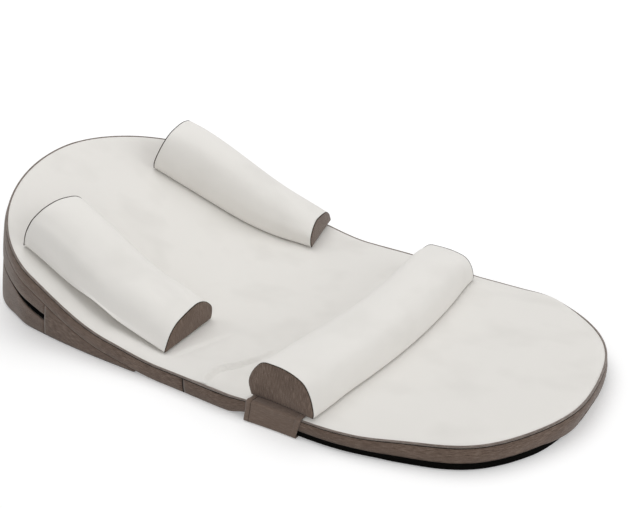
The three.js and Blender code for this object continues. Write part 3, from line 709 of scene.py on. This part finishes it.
bandSeam("mat_band_seam_right", -1)
bandSeam("mat_band_seam_left", 1)
seamHalf = 0.0002
footLow, footHigh = (edgeLengthAt(sign, mat["seam_shade"] - seamHalf) for sign in (-1, 1))
headLow, headHigh = (edgeLengthAt(sign, mat["seam_shade"] + seamHalf) for sign in (1, -1))
bandPiece("mat_side_band_foot", footLow - 2 * halfLength, footHigh, "mat_foot_band")
bandPiece("mat_side_band_head", headLow, headHigh, "mat_head_band")

# Piping: a roll of cloth on the top edge, over a dark sewn groove, where a dark tube paints the groove's shade
roll = {"radius": 0.0013, "inset": 0.0017, "height": 0.0267, "sides": 12, "spacing": 0.003}


def ring(name, run, inset, height, radius, sides, material, wobble, *solids):
    # A tube of cloth right round the edge, its radius swelling a little along it
    turn = np.linspace(0, 2 * math.pi, sides, endpoint=False)
    swell = 1 + wobble * ripple(run, 0.2, 0.03, 21)
    inset, height, radius = (np.broadcast_to(v, run.shape)[:, None] for v in (inset, height, radius * swell))
    x, s = edgeAt(run[:, None], inset + radius * np.sin(turn))
    return sewn(name, place(x, s, height + radius * np.cos(turn)), material, *solids, closeRows=True, streak="along")


wholeEdge = edgeRun(0, 2 * halfLength, roll["spacing"], closed=True)
bulge = bunchedAt(wholeEdge)
ring(
    "mat_piping_roll", wholeEdge, roll["inset"] - 0.0008 * bulge, roll["height"] + 0.0010 * bulge,
    roll["radius"] * (1 + 0.22 * bulge), roll["sides"], pipingCloth, 0.06, "mat_piping",
)
# Dark tube under the piping: the sewn seam, and painted shade in its groove
ring("mat_piping_seam_shade", wholeEdge, 0.0012 - 0.0004 * bulge, 0.0252, 0.0008, 8, threadAndShade, 0.0)


# Flat panels: a rim profile of inset and height, closed across its middle above and below
def panel(name, run, profile, material, node, put, isWhole, tuck=0.0):
    profile = np.array(profile)
    x, s = edgeAt(run, profile[:, :1] + tuck)
    count = 8
    shares = np.linspace(0, 1, count + 1)[:-1, None]
    if isWhole:
        lowX, lowS = toAxis(x[0], s[0], shares)
        highX, highS = toAxis(x[-1], s[-1], shares[::-1])
    else:
        lowX, lowS, highX, highS = shares * x[0], s[:1] + 0 * shares, shares[::-1] * x[-1], s[-1:] + 0 * shares
    x, s = np.concatenate([lowX, x, highX]), np.concatenate([lowS, s, highS])
    height = np.concatenate([np.full(count, profile[0, 1]), profile[:, 1], np.full(count, profile[-1, 1])])
    return finished(disc(name, put(x, s, height[:, None] + 0 * x), np.stack([x, s], -1), material), node)


coarseEdge = edgeRun(0, 2 * halfLength, 0.008, closed=True)
footEdge = edgeRun(edgeLengthAt(-1, 0.285) - 2 * halfLength, edgeLengthAt(1, 0.285), 0.006)
underRim = [(0.0028, 0.0069), (0.0022, 0.0072), (0.0022, 0.0084)]
panel("mat_under_panel", coarseEdge, underRim, greyCloth, "mat_bottom_panel", place, True)
layerRim = [(0.0071, 0.0046), (0.0065, 0.0049), (0.0062, 0.0056), (0.0062, 0.0067)]
panel("foot_black_layer", footEdge, layerRim, blackCloth, "foot_base_panel", place, False)

# The black layer's edge: inset, share of its height, and how far that point lowers at the foot tip
edging = {"low": 0.0004, "high": 0.0067, "riseRun": 0.026, "tipInset": 0.0085, "tipDrop": 0.5, "wave": 0.0003}
edgingCorners = np.array([
    (0.0052, 0.0, 0), (0.0024, 0.0, 0), (0.0004, 0.03, 0), (-0.0006, 0.13, 0), (-0.0010, 0.32, 0),
    (-0.0012, 0.6, 0.3), (-0.0012, 0.9, 0.6), (-0.0011, 1.15, 0.8), (-0.0009, 1.25, 1), (-0.0006, 1.29, 1),
    (-0.0004, 1.25, 1), (-0.0004, 1.0, 0.4), (0.0017, 0.985, 0), (0.0057, 0.985, 0), (0.0057, 0.5, 0),
])


def edgingStrip():
    # The black layer's edge down to the floor, or to the strap's run under it, lapped over the band's foot
    run = edgeRun(footEdge[0], footEdge[-1], 0.004)[:, None]
    s = edgeAt(run, 0)[1]
    onRight = np.mod(run, 2 * halfLength) > halfLength
    rise, strapTop = np.where(onRight, 0.122, 0.135), np.where(onRight, 0.0015, 0.0044)
    low = edging["low"] + (strapTop - edging["low"]) * smoothStep(s, rise, rise + edging["riseRun"])
    inset, share, lapped = edgingCorners.T
    atTip = 1 - smoothStep(np.abs(run), 0.018, 0.105)
    wave = edging["wave"] * ripple(run, 0.1, 0.035, 31) * np.clip(np.sin(math.pi * share), 0, 1)
    x, s = edgeAt(run, inset - wave + edging["tipInset"] * atTip * (inset < 0.005))
    height = low + (share - edging["tipDrop"] * atTip * lapped) * (edging["high"] - low)
    return sewn("foot_edging_strip", place(x, s, height), blackCloth, "foot_edging", caps=True)


edgingStrip()
print("mat made")

# Wedge: its wall stands between the floor and the mat and leans out towards the head
wedge = {
    "toe": 0.468,
    "lean": math.radians(16.9),
    "top": 0.0067,
    "floor": 0.0013,
    "wall": 0.0015,
    "bulge": 0.0006,
    "slack": 0.0005,
    "tucks": ((1.372, 0.042, 0.0075), (1.432, 0.040, 0.0018)),
    "spacing": 0.004,
}
zipper = {
    "rightEnd": 0.630,
    "leftEnd": 0.585,
    "slotHalf": 0.0046,
    "closedHalf": 0.0010,
    "run": 0.060,
    "lineShare": 0.47,
    "headHigher": 0.0045,
    "rightHigher": 0.0100,
}


def wedgeTopZ(s):
    return place(0, s, wedge["top"])[..., 2]


def putInWedge(x, s, z):
    # Under the mat's point at s, down to z along the leaning wall
    x, s, z = np.broadcast_arrays(*(np.asarray(v, float) for v in (x, s, z)))
    top = place(x, s, wedge["top"])
    z = np.minimum(z, top[..., 2])
    return np.stack([top[..., 0], top[..., 1] + (top[..., 2] - z) * math.tan(wedge["lean"]), z], -1)


zipSlope = (wedgeTopZ(mat["length"]) - wedgeTopZ(bendEnd)) / (mat["length"] - bendEnd)


def zipHeightAt(run):
    # Level with the wall's slope on the left; higher round the head end and down the right
    s = edgeAt(run, 0)[1]
    level = zipper["lineShare"] * (wedgeTopZ(bendEnd) + zipSlope * (s - bendEnd))
    rightEnd = edgeLengthAt(1, zipper["rightEnd"])
    down = smoothStep(2 * halfLength - run, rightEnd, rightEnd + 0.105)
    higher = zipper["headHigher"] + zipper["rightHigher"] * down
    return level + higher * smoothStep(run, edgeLengthAt(1, 0.740), halfLength)


def wallTuck(run, z):
    # The wall's foot is drawn in at the near head corner, less and less up to the mat
    inward = sum(most * bell(run, centre, half) for centre, half, most in wedge["tucks"])
    return inward * np.clip(1 - z / matLine(run), 0, 1)


def slotHalfAt(run):
    # Open at both ends of the zip, with the lips closing over one run between
    end = np.where(run > halfLength, zipper["rightEnd"] + 0.025, zipper["leftEnd"] + zipper["run"])
    share = smoothStep(edgeAt(run, 0)[1], end, end + zipper["run"])
    return zipper["slotHalf"] + share * (zipper["closedHalf"] - zipper["slotHalf"])


def wallPiece(name, start, end, lowAt, highAt, node):
    # Cloth from a low to a high line, a little full between them and pulled in at its seams
    run = edgeRun(start, end, wedge["spacing"])[:, None]
    low, high = lowAt(run), highAt(run)
    share = np.concatenate([[0.0, 0.012, 0.045, 0.1], np.linspace(0.18, 0.82, 9), [0.9, 0.955, 0.988, 1.0]])
    fromEnd = np.minimum(np.abs(run - start), np.abs(run - end))
    pulled = 0.0002 * bell(fromEnd, 0, 0.002)
    above, below = share * (high - low), (1 - share) * (high - low)
    tall = np.clip((high - low) / 0.03, 0, 1)
    crown = wedge["bulge"] * tall * 4 * share * (1 - share)
    edgeRoll = 0.0008 * np.exp(-above / 0.0012) + 0.0003 * np.exp(-below / 0.0006)
    slack = wedge["slack"] * ripple(run, share * 0.05, 0.07, 13) * tall
    z = low + above
    outer = putInWedge(*edgeAt(run, edgeRoll + pulled - crown - slack + wallTuck(run, z)), z)
    z = low + np.array([0.985, 0.5, 0.015]) * (high - low)
    inside = putInWedge(*edgeAt(run, wedge["wall"] + 0.0009 + wallTuck(run, z)), z)
    return sewn(name, np.concatenate([outer, inside], 1), greyCloth, node, caps=True, streak="along")


def floorLine(run):
    return np.full(run.shape, wedge["floor"])


def matLine(run):
    return wedgeTopZ(edgeAt(run, 0)[1])


def lowerLip(run):
    return zipHeightAt(run) - slotHalfAt(run)


def upperLip(run):
    return zipHeightAt(run) + slotHalfAt(run)


seamGap = 0.00015
zipEnds = (edgeLengthAt(1, zipper["leftEnd"]) + seamGap, edgeLengthAt(-1, zipper["rightEnd"]) - seamGap)
toeEnds = (edgeLengthAt(1, wedge["toe"]), edgeLengthAt(-1, wedge["toe"]))
wallPiece("wedge_wall_right", zipEnds[1] + 2 * seamGap, toeEnds[1], floorLine, matLine, "wedge_toe_gusset_right")
wallPiece("wedge_wall_left", toeEnds[0], zipEnds[0] - 2 * seamGap, floorLine, matLine, "wedge_toe_gusset_left")
wallPiece("wedge_wall_lower", *zipEnds, floorLine, lowerLip, "wedge_lower_gusset")
wallPiece("wedge_wall_upper", *zipEnds, upperLip, matLine, "wedge_upper_gusset")


def zipTapeStrip(name, side, node):
    # A strip behind the slot, from the zip's line to one side of it
    run = edgeRun(zipEnds[0] + 0.0006, zipEnds[1] - 0.0006, 0.005)[:, None]
    corner = np.array([(0.0026, 0.0002), (0.0026, 0.009), (0.0034, 0.009), (0.0034, 0.0002)])
    z = zipHeightAt(run) + side * corner[:, 1]
    x, s = edgeAt(run, corner[:, 0] + wallTuck(run, z))
    return sewn(name, putInWedge(x, s, z), zipTape, node, caps=True)


zipTapeStrip("zip_tape_top", 1, "zip_tape_upper")
zipTapeStrip("zip_tape_bottom", -1, "zip_tape_lower")


def zipCoil():
    # Short tapered bars that cross the zip's line from above and below in turn
    start = edgeRun(zipEnds[0] + 0.001, zipEnds[1] - 0.001, 0.0014)[:, None, None]
    turn = np.linspace(0, 2 * math.pi, 6, endpoint=False)
    reach, width = np.array([[-0.25], [0.2], [0.75], [1.0]]), np.array([[0.55], [1.0], [1.0], [0.45]])
    side = np.where(np.arange(len(start)) % 2 == 0, 1.0, -1.0)[:, None, None]
    half = np.minimum(0.0024, slotHalfAt(start) - 0.0003)
    run = start + 0.00055 * width * np.cos(turn)
    z = zipHeightAt(start) + side * half * reach
    x, s = edgeAt(run, 0.00115 - 0.00055 * width * np.sin(turn) + wallTuck(start, z))
    points = putInWedge(x, s, z)
    quads, spots = gridFaces(4, 6)
    faces = quads[None] + (np.arange(len(start)) * 24)[:, None, None]
    corners = np.tile(spots * 0.0005, (len(start), 1, 1))
    coil = addPiece("zip_coil", points, faces.reshape(-1, 4).tolist(), [corners], zipTape)
    return finished(coil, "zip_chain")


zipCoil()


def wedgeFoam():
    # The foam block inside the wall
    inner = wedge["toe"] + 0.0025
    run = edgeRun(edgeLengthAt(1, inner), edgeLengthAt(-1, inner), 0.009)[:, None]
    x, s = edgeAt(run, 0.0040 + wallTuck(run, 0))
    low, high = 0.0017, wedgeTopZ(s) - 0.0004
    across = np.concatenate([np.array([0.0, 0.33, 0.66]), np.ones(7), np.array([0.66, 0.33, 0.0])])
    upward = np.concatenate([np.zeros(3), np.linspace(0, 1, 7), np.ones(3)])
    points = putInWedge(x * across, s + 0 * across, low + upward * (high - low))
    piece = sewn("wedge_foam", points, foam, "wedge_core")


wedgeFoam()
floorRun = edgeRun(toeEnds[0] + 0.002, toeEnds[1] - 0.002, 0.008)
floorRim = [(0.0018, 0.0), (0.0012, 0.0006), (0.0012, 0.0012)]
floorTuck = wallTuck(floorRun, 0)
panel("wedge_floor_panel", floorRun, floorRim, blackCloth, "wedge_base_panel", putInWedge, False, floorTuck)


toeX = np.linspace(-0.2131, 0.2131, 40)[:, None]
toeS, toeZ = np.array([(0.4681, 0.0015), (0.4681, 0.02), (0.4692, 0.02), (0.4692, 0.0015)]).T
sewn("wedge_toe_cloth", putInWedge(toeX, toeS, toeZ), greyCloth, "wedge_toe_panel", caps=True)
print("wedge made")

# Bolsters: section outlines as shares of the width and the height, over the crown
sideFootShares = np.array([
    (0.02, 0), (0.06, 0.2), (0.16, 0.55), (0.29, 0.79), (0.45, 0.91), (0.6, 0.98),
    (0.72, 1), (0.83, 0.91), (0.92, 0.73), (0.99, 0.46), (0.98, 0.16), (0.95, 0),
])
sideHeadShares = np.array([
    (0.01, 0), (0, 0.36), (0.05, 0.65), (0.13, 0.8), (0.24, 0.92), (0.42, 1),
    (0.6, 0.98), (0.76, 0.9), (0.88, 0.72), (0.97, 0.44), (1, 0.2), (0.96, 0),
])
legShares = np.array([
    (0.01, 0), (0.0, 0.16), (0.035, 0.5), (0.12, 0.785), (0.25, 0.915), (0.42, 0.985),
    (0.60, 1.0), (0.76, 0.975), (0.87, 0.80), (0.955, 0.57), (1.0, 0.31), (0.97, 0),
])
sectionSteps = 4
bottomSteps = 14


def rounded(shares):
    # A smooth curve through the outline's points, then straight back along the bottom
    padded = np.concatenate([2 * shares[:1] - shares[1:2], shares, 2 * shares[-1:] - shares[-2:-1]])
    along = np.linspace(0, len(shares) - 1, (len(shares) - 1) * sectionSteps + 1)
    knot = np.minimum(along.astype(int), len(shares) - 2)
    t = (along - knot)[:, None]
    a, b, c, d = (padded[knot + k] for k in range(4))
    curve = 0.5 * (2 * b + (c - a) * t + (2 * a - 5 * b + 4 * c - d) * t ** 2 + (3 * b - a - 3 * c + d) * t ** 3)
    back = np.linspace(0, 1, bottomSteps + 1)[1:-1, None]
    return np.concatenate([curve, curve[-1] + back * (curve[0] - curve[-1])])


sideFoot, sideHead, legSection = rounded(sideFootShares), rounded(sideHeadShares), rounded(legShares)
crownCount = (len(legShares) - 1) * sectionSteps + 1
# How much of the outer bottom corner's lift each point of a side section has
outerShare = np.concatenate([
    np.clip(1 - np.arange(crownCount) / sectionSteps, 0, 1),
    np.clip((0.3 - sideFoot[crownCount:, 0]) / 0.28, 0, 1),
])


def sideSize(share, kind):
    # The width or height at a share of a side bolster's length
    foot, head = bolster["foot" + kind], bolster["head" + kind]
    return foot + share * (head - foot)


def sidePoint(seat, share, across, up):
    # On a side bolster: a share of its length, across from its outer side and up from its seat
    width = sideSize(share, "Width")
    outward = width / 2 - across
    skewed = seat["sign"] * bolster["footSkew"] * 2 * outward / width * (1 - share)
    along = (share - 0.5) * (bolster["length"] + 2 * seat["extra"]) + skewed
    turn = seat["turn"]
    sideways = seat["x"] + outward * math.cos(turn) - along * math.sin(turn)
    onward = seat["s"] + outward * math.sin(turn) + along * math.cos(turn)
    return place(seat["sign"] * sideways, onward, bolster["seat"] + up)


def sideSection(share, inset):
    # The section at a share of the length, moved in on all sides
    outline = sideFoot + share[..., None, None] * (sideHead - sideFoot)
    full = 1 - (2 * share - 1) ** 4
    height = sideSize(share, "Height") + bolster["crown"] * full
    across = inset + outline[..., 0] * (sideSize(share, "Width")[..., None] - 2 * inset)
    raised = bolster["outerLift"] * full + bolster["midLift"] * bell(share, 0.47, 0.17)
    lift = raised[..., None] * outerShare
    return across, inset + outline[..., 1] * (height[..., None] - 2 * inset) + lift


def sineRoot(share):
    return np.sin(math.pi * np.clip(share, 0, 1)) ** 0.5


def sideLoops(seat, share, inset):
    # Sections along a side bolster, each higher by the root of a sine along it
    across, up = sideSection(share, inset)
    up = up * (1 + seat["crown"] / bolster["headHeight"] * sineRoot(share))[:, None]
    return sidePoint(seat, share[:, None], across, up)


def legLoops(share, inset):
    # The leg bolster's section along its length: bowed to the foot, short and low at the far end
    x = leg["middle"] + ((share - 0.5) * leg["length"] - leg["farShort"] * share ** 6)[:, None]
    height = leg["height"] - leg["low"] - leg["farLow"] * smoothStep(share, 0.80, 1.02)[:, None]
    across = inset + legSection[:, 0] * (leg["depth"] - 2 * inset)
    up = inset + legSection[:, 1] * (height - 2 * inset)
    bow = leg["bow"] * (1 - (2 * (x - leg["middle"]) / leg["length"]) ** 2)
    return place(x, leg["s"] - leg["depth"] / 2 - bow + across, leg["seat"] + up)


cloth = {
    "quality": 6,
    "mass": 0.2,
    "tension": 18,
    "shear": 8,
    "bending": 5.0,
    "pressure": 3.0,
    "cap": 0.0028,
    "frames": 20,
}


def swell(piece, held, free):
    # Cloth blown up by pressure from its starting form, with held points fixed and a cap on the move,
    # which is taken in full only where a point's free share is 1
    mesh = piece.data
    group = piece.vertex_groups.new(name="held")
    group.add(np.flatnonzero(held == 1).tolist(), 1.0, "REPLACE")
    modifier = piece.modifiers.new("swell", "CLOTH")
    settings = modifier.settings
    settings.quality = cloth["quality"]
    settings.mass = cloth["mass"]
    settings.tension_stiffness = settings.compression_stiffness = cloth["tension"]
    settings.shear_stiffness = cloth["shear"]
    settings.bending_stiffness = cloth["bending"]
    settings.use_pressure = True
    settings.uniform_pressure_force = cloth["pressure"]
    settings.vertex_group_mass = "held"
    settings.effector_weights.gravity = 0
    modifier.point_cache.frame_start, modifier.point_cache.frame_end = 1, cloth["frames"]
    for step in range(1, cloth["frames"] + 1):
        scene.frame_set(step)
    start, end = np.zeros(len(mesh.vertices) * 3), np.zeros(len(mesh.vertices) * 3)
    mesh.vertices.foreach_get("co", start)
    shaped = piece.evaluated_get(bpy.context.evaluated_depsgraph_get()).to_mesh()
    shaped.vertices.foreach_get("co", end)
    move = (end - start).reshape(-1, 3)
    length = np.linalg.norm(move, axis=1, keepdims=True)
    move *= np.minimum(1, cloth["cap"] / np.maximum(length, 1e-9)) * free[:, None]
    print(piece.name, "moved up to", round(float(length.max()) * 1000, 1), "mm, kept to", cloth["cap"] * 1000)
    piece.modifiers.remove(modifier)
    piece.vertex_groups.remove(group)
    mesh.vertices.foreach_set("co", (start.reshape(-1, 3) + move).ravel())
    mesh.update()
    scene.frame_set(1)


sleeveStep = 0.006


def endShares(length):
    # Lengths where the sleeve turns in at each end, as shares, with the insets there
    turn = np.array([(0.0030, 0.0024), (0.0018, 0.0019), (0.0012, 0.0011), (0.0014, 0.0004), (0.0022, 0.0)])
    inner = np.linspace(0.0050, length - 0.0050, int(length / sleeveStep))
    shares = np.concatenate([turn[:, 0], inner, (length - turn[:, 0])[::-1]]) / length
    insets = np.concatenate([turn[:, 1], np.zeros(len(inner)), turn[::-1, 1]])
    return shares, insets


def loopsOf(loopsAt, shares, insets):
    # One section for each share and inset
    return np.stack([loopsAt(np.array([share]), inset)[0] for share, inset in zip(shares, insets)])


def makeSleeve(body, loopsAt, length):
    # White cloth round the core, turned in over both end seams and held along its bottom
    shares, insets = endShares(length)
    start = 0.9 * cloth["cap"] * sineRoot(shares)
    points = loopsOf(loopsAt, shares, insets)
    smaller = loopsOf(loopsAt, shares, insets + start)
    rim = np.arange(points.shape[1])
    upper = rim < crownCount
    lift = np.clip(np.minimum(rim, crownCount - 1 - rim) / 6, 0, 1) * upper
    points = points + (smaller - points) * lift[None, :, None]
    piece = loft(f"{body}_white_sleeve", points, whiteSleeve, body, streak="along")
    held = np.zeros(points.shape[:2])
    held[:, ~upper] = 1
    held[:, [0, crownCount - 1]] = 1
    held[:6] = held[-6:] = 1
    swell(piece, held.ravel(), np.broadcast_to(lift, held.shape).ravel())
    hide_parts(f"{body}_core", f"{body}_sleeve")
    finished(piece)
    more = piece.modifiers.new("smooth", "SUBSURF")
    more.levels = more.render_levels = 1


def closeEnd(body, end, loopsAt, share, length, dome):
    # A cloth end inside the sleeve's rim, slightly domed outwards, and the dark sewn line round it, which also paints
    # the shade in the groove there
    inward = (1 if share < 0.5 else -1) / length
    shrink = np.array([1.0, 0.985, 0.96, 0.92, 0.86, 0.76, 0.62, 0.45, 0.25, 0.0])
    depth = 0.0004 - dome * np.sqrt(1 - shrink ** 2) ** 0.8
    rims = loopsOf(loopsAt, share + inward * depth, np.full(len(depth), 0.0007))
    middles = rims.mean(axis=1, keepdims=True)
    rows = middles + shrink[:, None, None] * (rims - middles)
    sideways = rows[0, 0] - rows[0, crownCount - 1]
    upward = rows[0, crownCount // 2] - rows[0, crownCount + bottomSteps // 2]
    axes = np.stack([sideways / np.linalg.norm(sideways), upward / np.linalg.norm(upward)], -1)
    face = disc(f"{body}_{end}_end", rows, (rows - middles[0, 0]) @ axes, greyCloth, body)
    finished(face, f"{body}_{end}_panel")
    # The dark welt round the end: sewn thread, and painted shade in the groove
    depths, insets = np.array([(0.0009, 0.0007), (0.0009, 0.0012), (0.0014, 0.0007)]).T
    centre, inner, deeper = loopsOf(loopsAt, share + inward * depths, insets)[:, :, None]
    turn = np.linspace(0, 2 * math.pi, 6, endpoint=False)[None, :, None]
    welt = centre + (inner - centre) * np.cos(turn) * 1.2 + (deeper - centre) * np.sin(turn) * 1.2
    sewn(f"{body}_{end}_seam", welt, threadAndShade, body=body, closeRows=True)


def hookStripPiece(name, seat, outward, body, node):
    # A strip of hook tape under a side bolster, on the mat's cover
    share = (np.linspace(-0.105, 0.105, 36) / bolster["length"] + 0.5)[:, None]
    corner = np.array([(-0.01, 0.0293), (-0.01, 0.0303), (0.01, 0.0303), (0.01, 0.0293)])
    across = sideSize(share, "Width") / 2 - outward + corner[:, 0]
    points = sidePoint(seat, share, across, corner[:, 1] - bolster["seat"])
    return sewn(name, points, blackHooks, node, body=body, caps=True)


for side, seat in (("right", rightPlace), ("left", leftPlace)):
    body = f"{side}_bolster"

    def loopsAt(share, inset, seat=seat):
        return sideLoops(seat, share, inset)

    makeSleeve(body, loopsAt, bolster["length"])
    for end, share in (("foot", 0.0), ("head", 1.0)):
        closeEnd(body, end, loopsAt, share, bolster["length"], 0.0012)
    for strip, outward in (("outer", 0.018), ("inner", -0.018)):
        hookStripPiece(f"{body}_{strip}_hooks", seat, outward, body, f"{body}_{strip}_hook")
print("side bolsters made")

makeSleeve("leg_bolster", legLoops, leg["length"])
for side, share in (("right", 0.0), ("left", 1.0)):
    closeEnd("leg_bolster", side, legLoops, share, leg["length"], 0.0014)
print("leg bolster made")

# Strap: two halves from under the leg bolster, over the mat's edge to the closure below
strap = {
    "width": 0.071,
    "thickness": 0.0009,
    "slack": 0.0048,
    "lean": 0.0050,
    "tuck": 0.020,
    "topRadius": 0.0036,
    "floorRadius": 0.001,
    "overlap": 0.030,
    "gap": 0.0003,
    "thread": 0.00035,
}
# Across the strap, with how far the cloth puffs out there: full at both hems, drawn in at their stitches
strapPuffs = np.array([
    (0.0, 0.0), (0.0012, 0.0007), (0.004, 0.0010), (0.0058, 0.0007), (0.0065, 0.0), (0.0072, 0.0002), (0.009, 0.0003),
    (0.016, 0.0004), (0.026, 0.0005), (0.0355, 0.0005), (0.045, 0.0005), (0.055, 0.0004), (0.062, 0.0003),
    (0.0638, 0.0002), (0.0645, 0.0), (0.0652, 0.0006), (0.067, 0.0009), (0.0698, 0.0006), (0.071, 0.0),
])


def arc(centreX, centreH, radius, start, end):
    # Eight points of a circle, from one angle to another
    turn = np.linspace(math.radians(start), math.radians(end), 8)
    return np.stack([centreX + radius * np.cos(turn), centreH + radius * np.sin(turn)], -1)


def strapCourse(tuck, halfWidth, runLow, depth, puff):
    # The cloth's line across the mat: flat, round the top edge, down, round the floor edge and flat
    reach = halfWidth + strap["gap"]
    top = np.array([reach - strap["topRadius"], mat["top"] + strap["gap"] - strap["topRadius"]])
    low = np.array([reach - strap["floorRadius"], runLow + strap["thickness"] + strap["floorRadius"]])
    out = depth + puff
    flat = np.linspace(tuck, top[0], 8)[:-1]
    upper = np.stack([flat, np.full(7, top[1] + strap["topRadius"] + out)], -1)
    down = np.linspace(0, 1, 9)[1:-1]
    sideX = top[0] + strap["topRadius"] + depth + puff * (1 - down ** 2) + strap["slack"] * down ** 1.5
    side = np.stack([sideX, top[1] + down * (low[1] - top[1])], -1)
    low[0] += strap["slack"]
    under = np.linspace(low[0], -strap["overlap"], 14)[1:]
    lower = np.stack([under, np.full(13, runLow + strap["thickness"] - depth)], -1)
    topArc, lowArc = arc(*top, strap["topRadius"] + out, 90, 0), arc(*low, strap["floorRadius"] + depth, 0, -90)
    return np.concatenate([upper, topArc, side, lowArc, lower])


def strapPiece(name, sign, runLow, node):
    # Outer and inner faces with a hem's thickness at both long edges, and a line of stitches on one hem
    tuck = leg["length"] / 2 + sign * leg["middle"] - strap["tuck"]
    outer, inner = [], []
    for across, puff in strapPuffs.tolist():
        s = strapMiddle + strap["width"] / 2 - across
        halfWidth = abs(edgeAt(edgeLengthAt(sign, s), 0)[0])
        for faces, depth, extra in ((outer, strap["thickness"], puff), (inner, 0.0, 0.0)):
            line = strapCourse(tuck, halfWidth, runLow, depth, extra)
            lowered = np.clip((mat["top"] - line[:, 1]) / mat["top"], 0, 1)
            leaned = strap["lean"] * lowered * np.clip(0.65 - (s - strapMiddle) / strap["width"], 0, 1)
            faces.append(place(sign * line[:, 0], s + leaned, line[:, 1]))
    stitch = np.stack(outer[3:6], 1)[2:-10]
    stitch = stitch[:, 1:2] + 0.16 * (stitch - stitch[:, 1:2])
    onTop = np.arange(len(stitch))[:, None, None] < 7
    raised = stitch + strap["thread"] * np.where(onTop, np.array([0, 0, 1.0]), np.array([sign, 0, 0.0]))
    raised = np.concatenate([raised, stitch[:, ::-1]], 1)
    sewn(name.replace("cloth", "stitch"), raised, threadAndShade, body="leg_bolster", caps=True)
    outer, inner = np.stack(outer, 1), np.stack(inner, 1)
    loops = np.concatenate([outer, inner[:, ::-1]], 1)
    piece = sewn(name, loops, strapCloth, node, body="leg_bolster", caps=True)


strapPiece("leg_strap_right_cloth", -1, 0.0003, "leg_strap_right")
strapPiece("leg_strap_left_cloth", 1, 0.0032, "leg_strap_left")


def closurePatch(name, low, thickness, material, node):
    # A rectangle of tape carried across the mat's middle, between the strap's halves
    x = np.linspace(-0.0297, 0.0297, 14)[:, None]
    half = strap["width"] / 2 - 0.005
    corner = np.array([(-half, low), (-half, low + thickness), (half, low + thickness), (half, low)])
    points = place(x, strapMiddle + corner[:, 0], corner[:, 1])
    return sewn(name, points, material, node, body="leg_bolster", caps=True)


closurePatch("leg_strap_hook_patch", 0.0015, 0.0006, blackHooks, "leg_strap_hook")
closurePatch("leg_strap_loop_patch", 0.0024, 0.0005, blackCloth, "leg_strap_loop")
print("strap made")

# Solids that keep their own form
for name, material in (("zip_slider", blackPlastic), ("zip_pull", blackPlastic), ("foot_sole", gripRubber)):
    mesh = nodes[name].data
    mesh.materials.clear()
    mesh.materials.append(material)


# Studio: a plain pale floor, white beyond it, and soft light
def paleFloor():
    # Matt and pale, and brighter to the camera alone, so that it goes over into the white beyond
    values = {"Base Color": (0.86, 0.86, 0.86, 1), "Roughness": 1.0, "Specular IOR Level": 0.0}
    material, tree, shader = newMaterial("paleFloor", {**values, "Emission Color": (1, 1, 1, 1)})
    ray = addNode(tree, "LightPath")
    place = addNode(tree, "TexCoord").outputs["Object"]
    away = addNode(tree, "VectorMath", {"operation": "LENGTH"}, i0=place).outputs["Value"]
    smooth = {"interpolation_type": "SMOOTHSTEP"}
    fading = addNode(tree, "MapRange", smooth, i0=away, i1=0.8, i2=2.4, i3=0.22, i4=1.0).outputs[0]
    shown = mathNode(tree, "MULTIPLY", ray.outputs["Is Camera Ray"], fading)
    tree.links.new(shown, shader.inputs["Emission Strength"])
    return material


def makeFloor():
    half = 6.0
    corner = np.array([(-half, -half), (half, -half), (half, half), (-half, half)])
    mesh = bpy.data.meshes.new("studio_floor")
    mesh.from_pydata([(x, y, 0.0) for x, y in corner.tolist()], [], [(0, 1, 2, 3)])
    mesh.materials.append(paleFloor())
    floor = bpy.data.objects.new("studio_floor", mesh)
    scene.collection.objects.link(floor)


makeFloor()


def addLamp(name, place, target, size, power):
    data = bpy.data.lights.new(name, "AREA")
    data.shape, data.size, data.energy = "DISK", size, power
    lamp = bpy.data.objects.new(name, data)
    lamp.location = place
    lamp.rotation_mode = "QUATERNION"
    lamp.rotation_quaternion = (Vector(target) - Vector(place)).to_track_quat("-Z", "Y")
    scene.collection.objects.link(lamp)


addLamp("overhead", (0.5, 0.6, 2.4), (0, 0, 0), 2.2, 26)
addLamp("front_fill", (-2.2, -1.8, 1.2), (0, 0, 0.05), 1.8, 12)
addLamp("foot_fill", (0.6, -2.6, 1.0), (0, 0, 0.05), 2.0, 13)

world = bpy.data.worlds.new("studio")
world.use_nodes = True
tree = world.node_tree
base = tree.nodes["Background"]
base.inputs[0].default_value, base.inputs[1].default_value = (1, 1, 1, 1), 0.55
plain = addNode(tree, "Background", Color=(1, 1, 1, 1), Strength=1.0)
rays = addNode(tree, "LightPath")
seen = mathNode(tree, "MAXIMUM", rays.outputs["Is Camera Ray"], rays.outputs["Is Transmission Ray"])
seen = mathNode(tree, "MAXIMUM", seen, rays.outputs["Is Glossy Ray"])
mix = tree.nodes.new("ShaderNodeMixShader")
tree.links.new(seen, mix.inputs[0])
tree.links.new(base.outputs[0], mix.inputs[1])
tree.links.new(plain.outputs[0], mix.inputs[2])
tree.links.new(mix.outputs[0], tree.nodes["World Output"].inputs[0])
scene.world = world
scene.view_settings.view_transform = "Standard"
print("studio made")
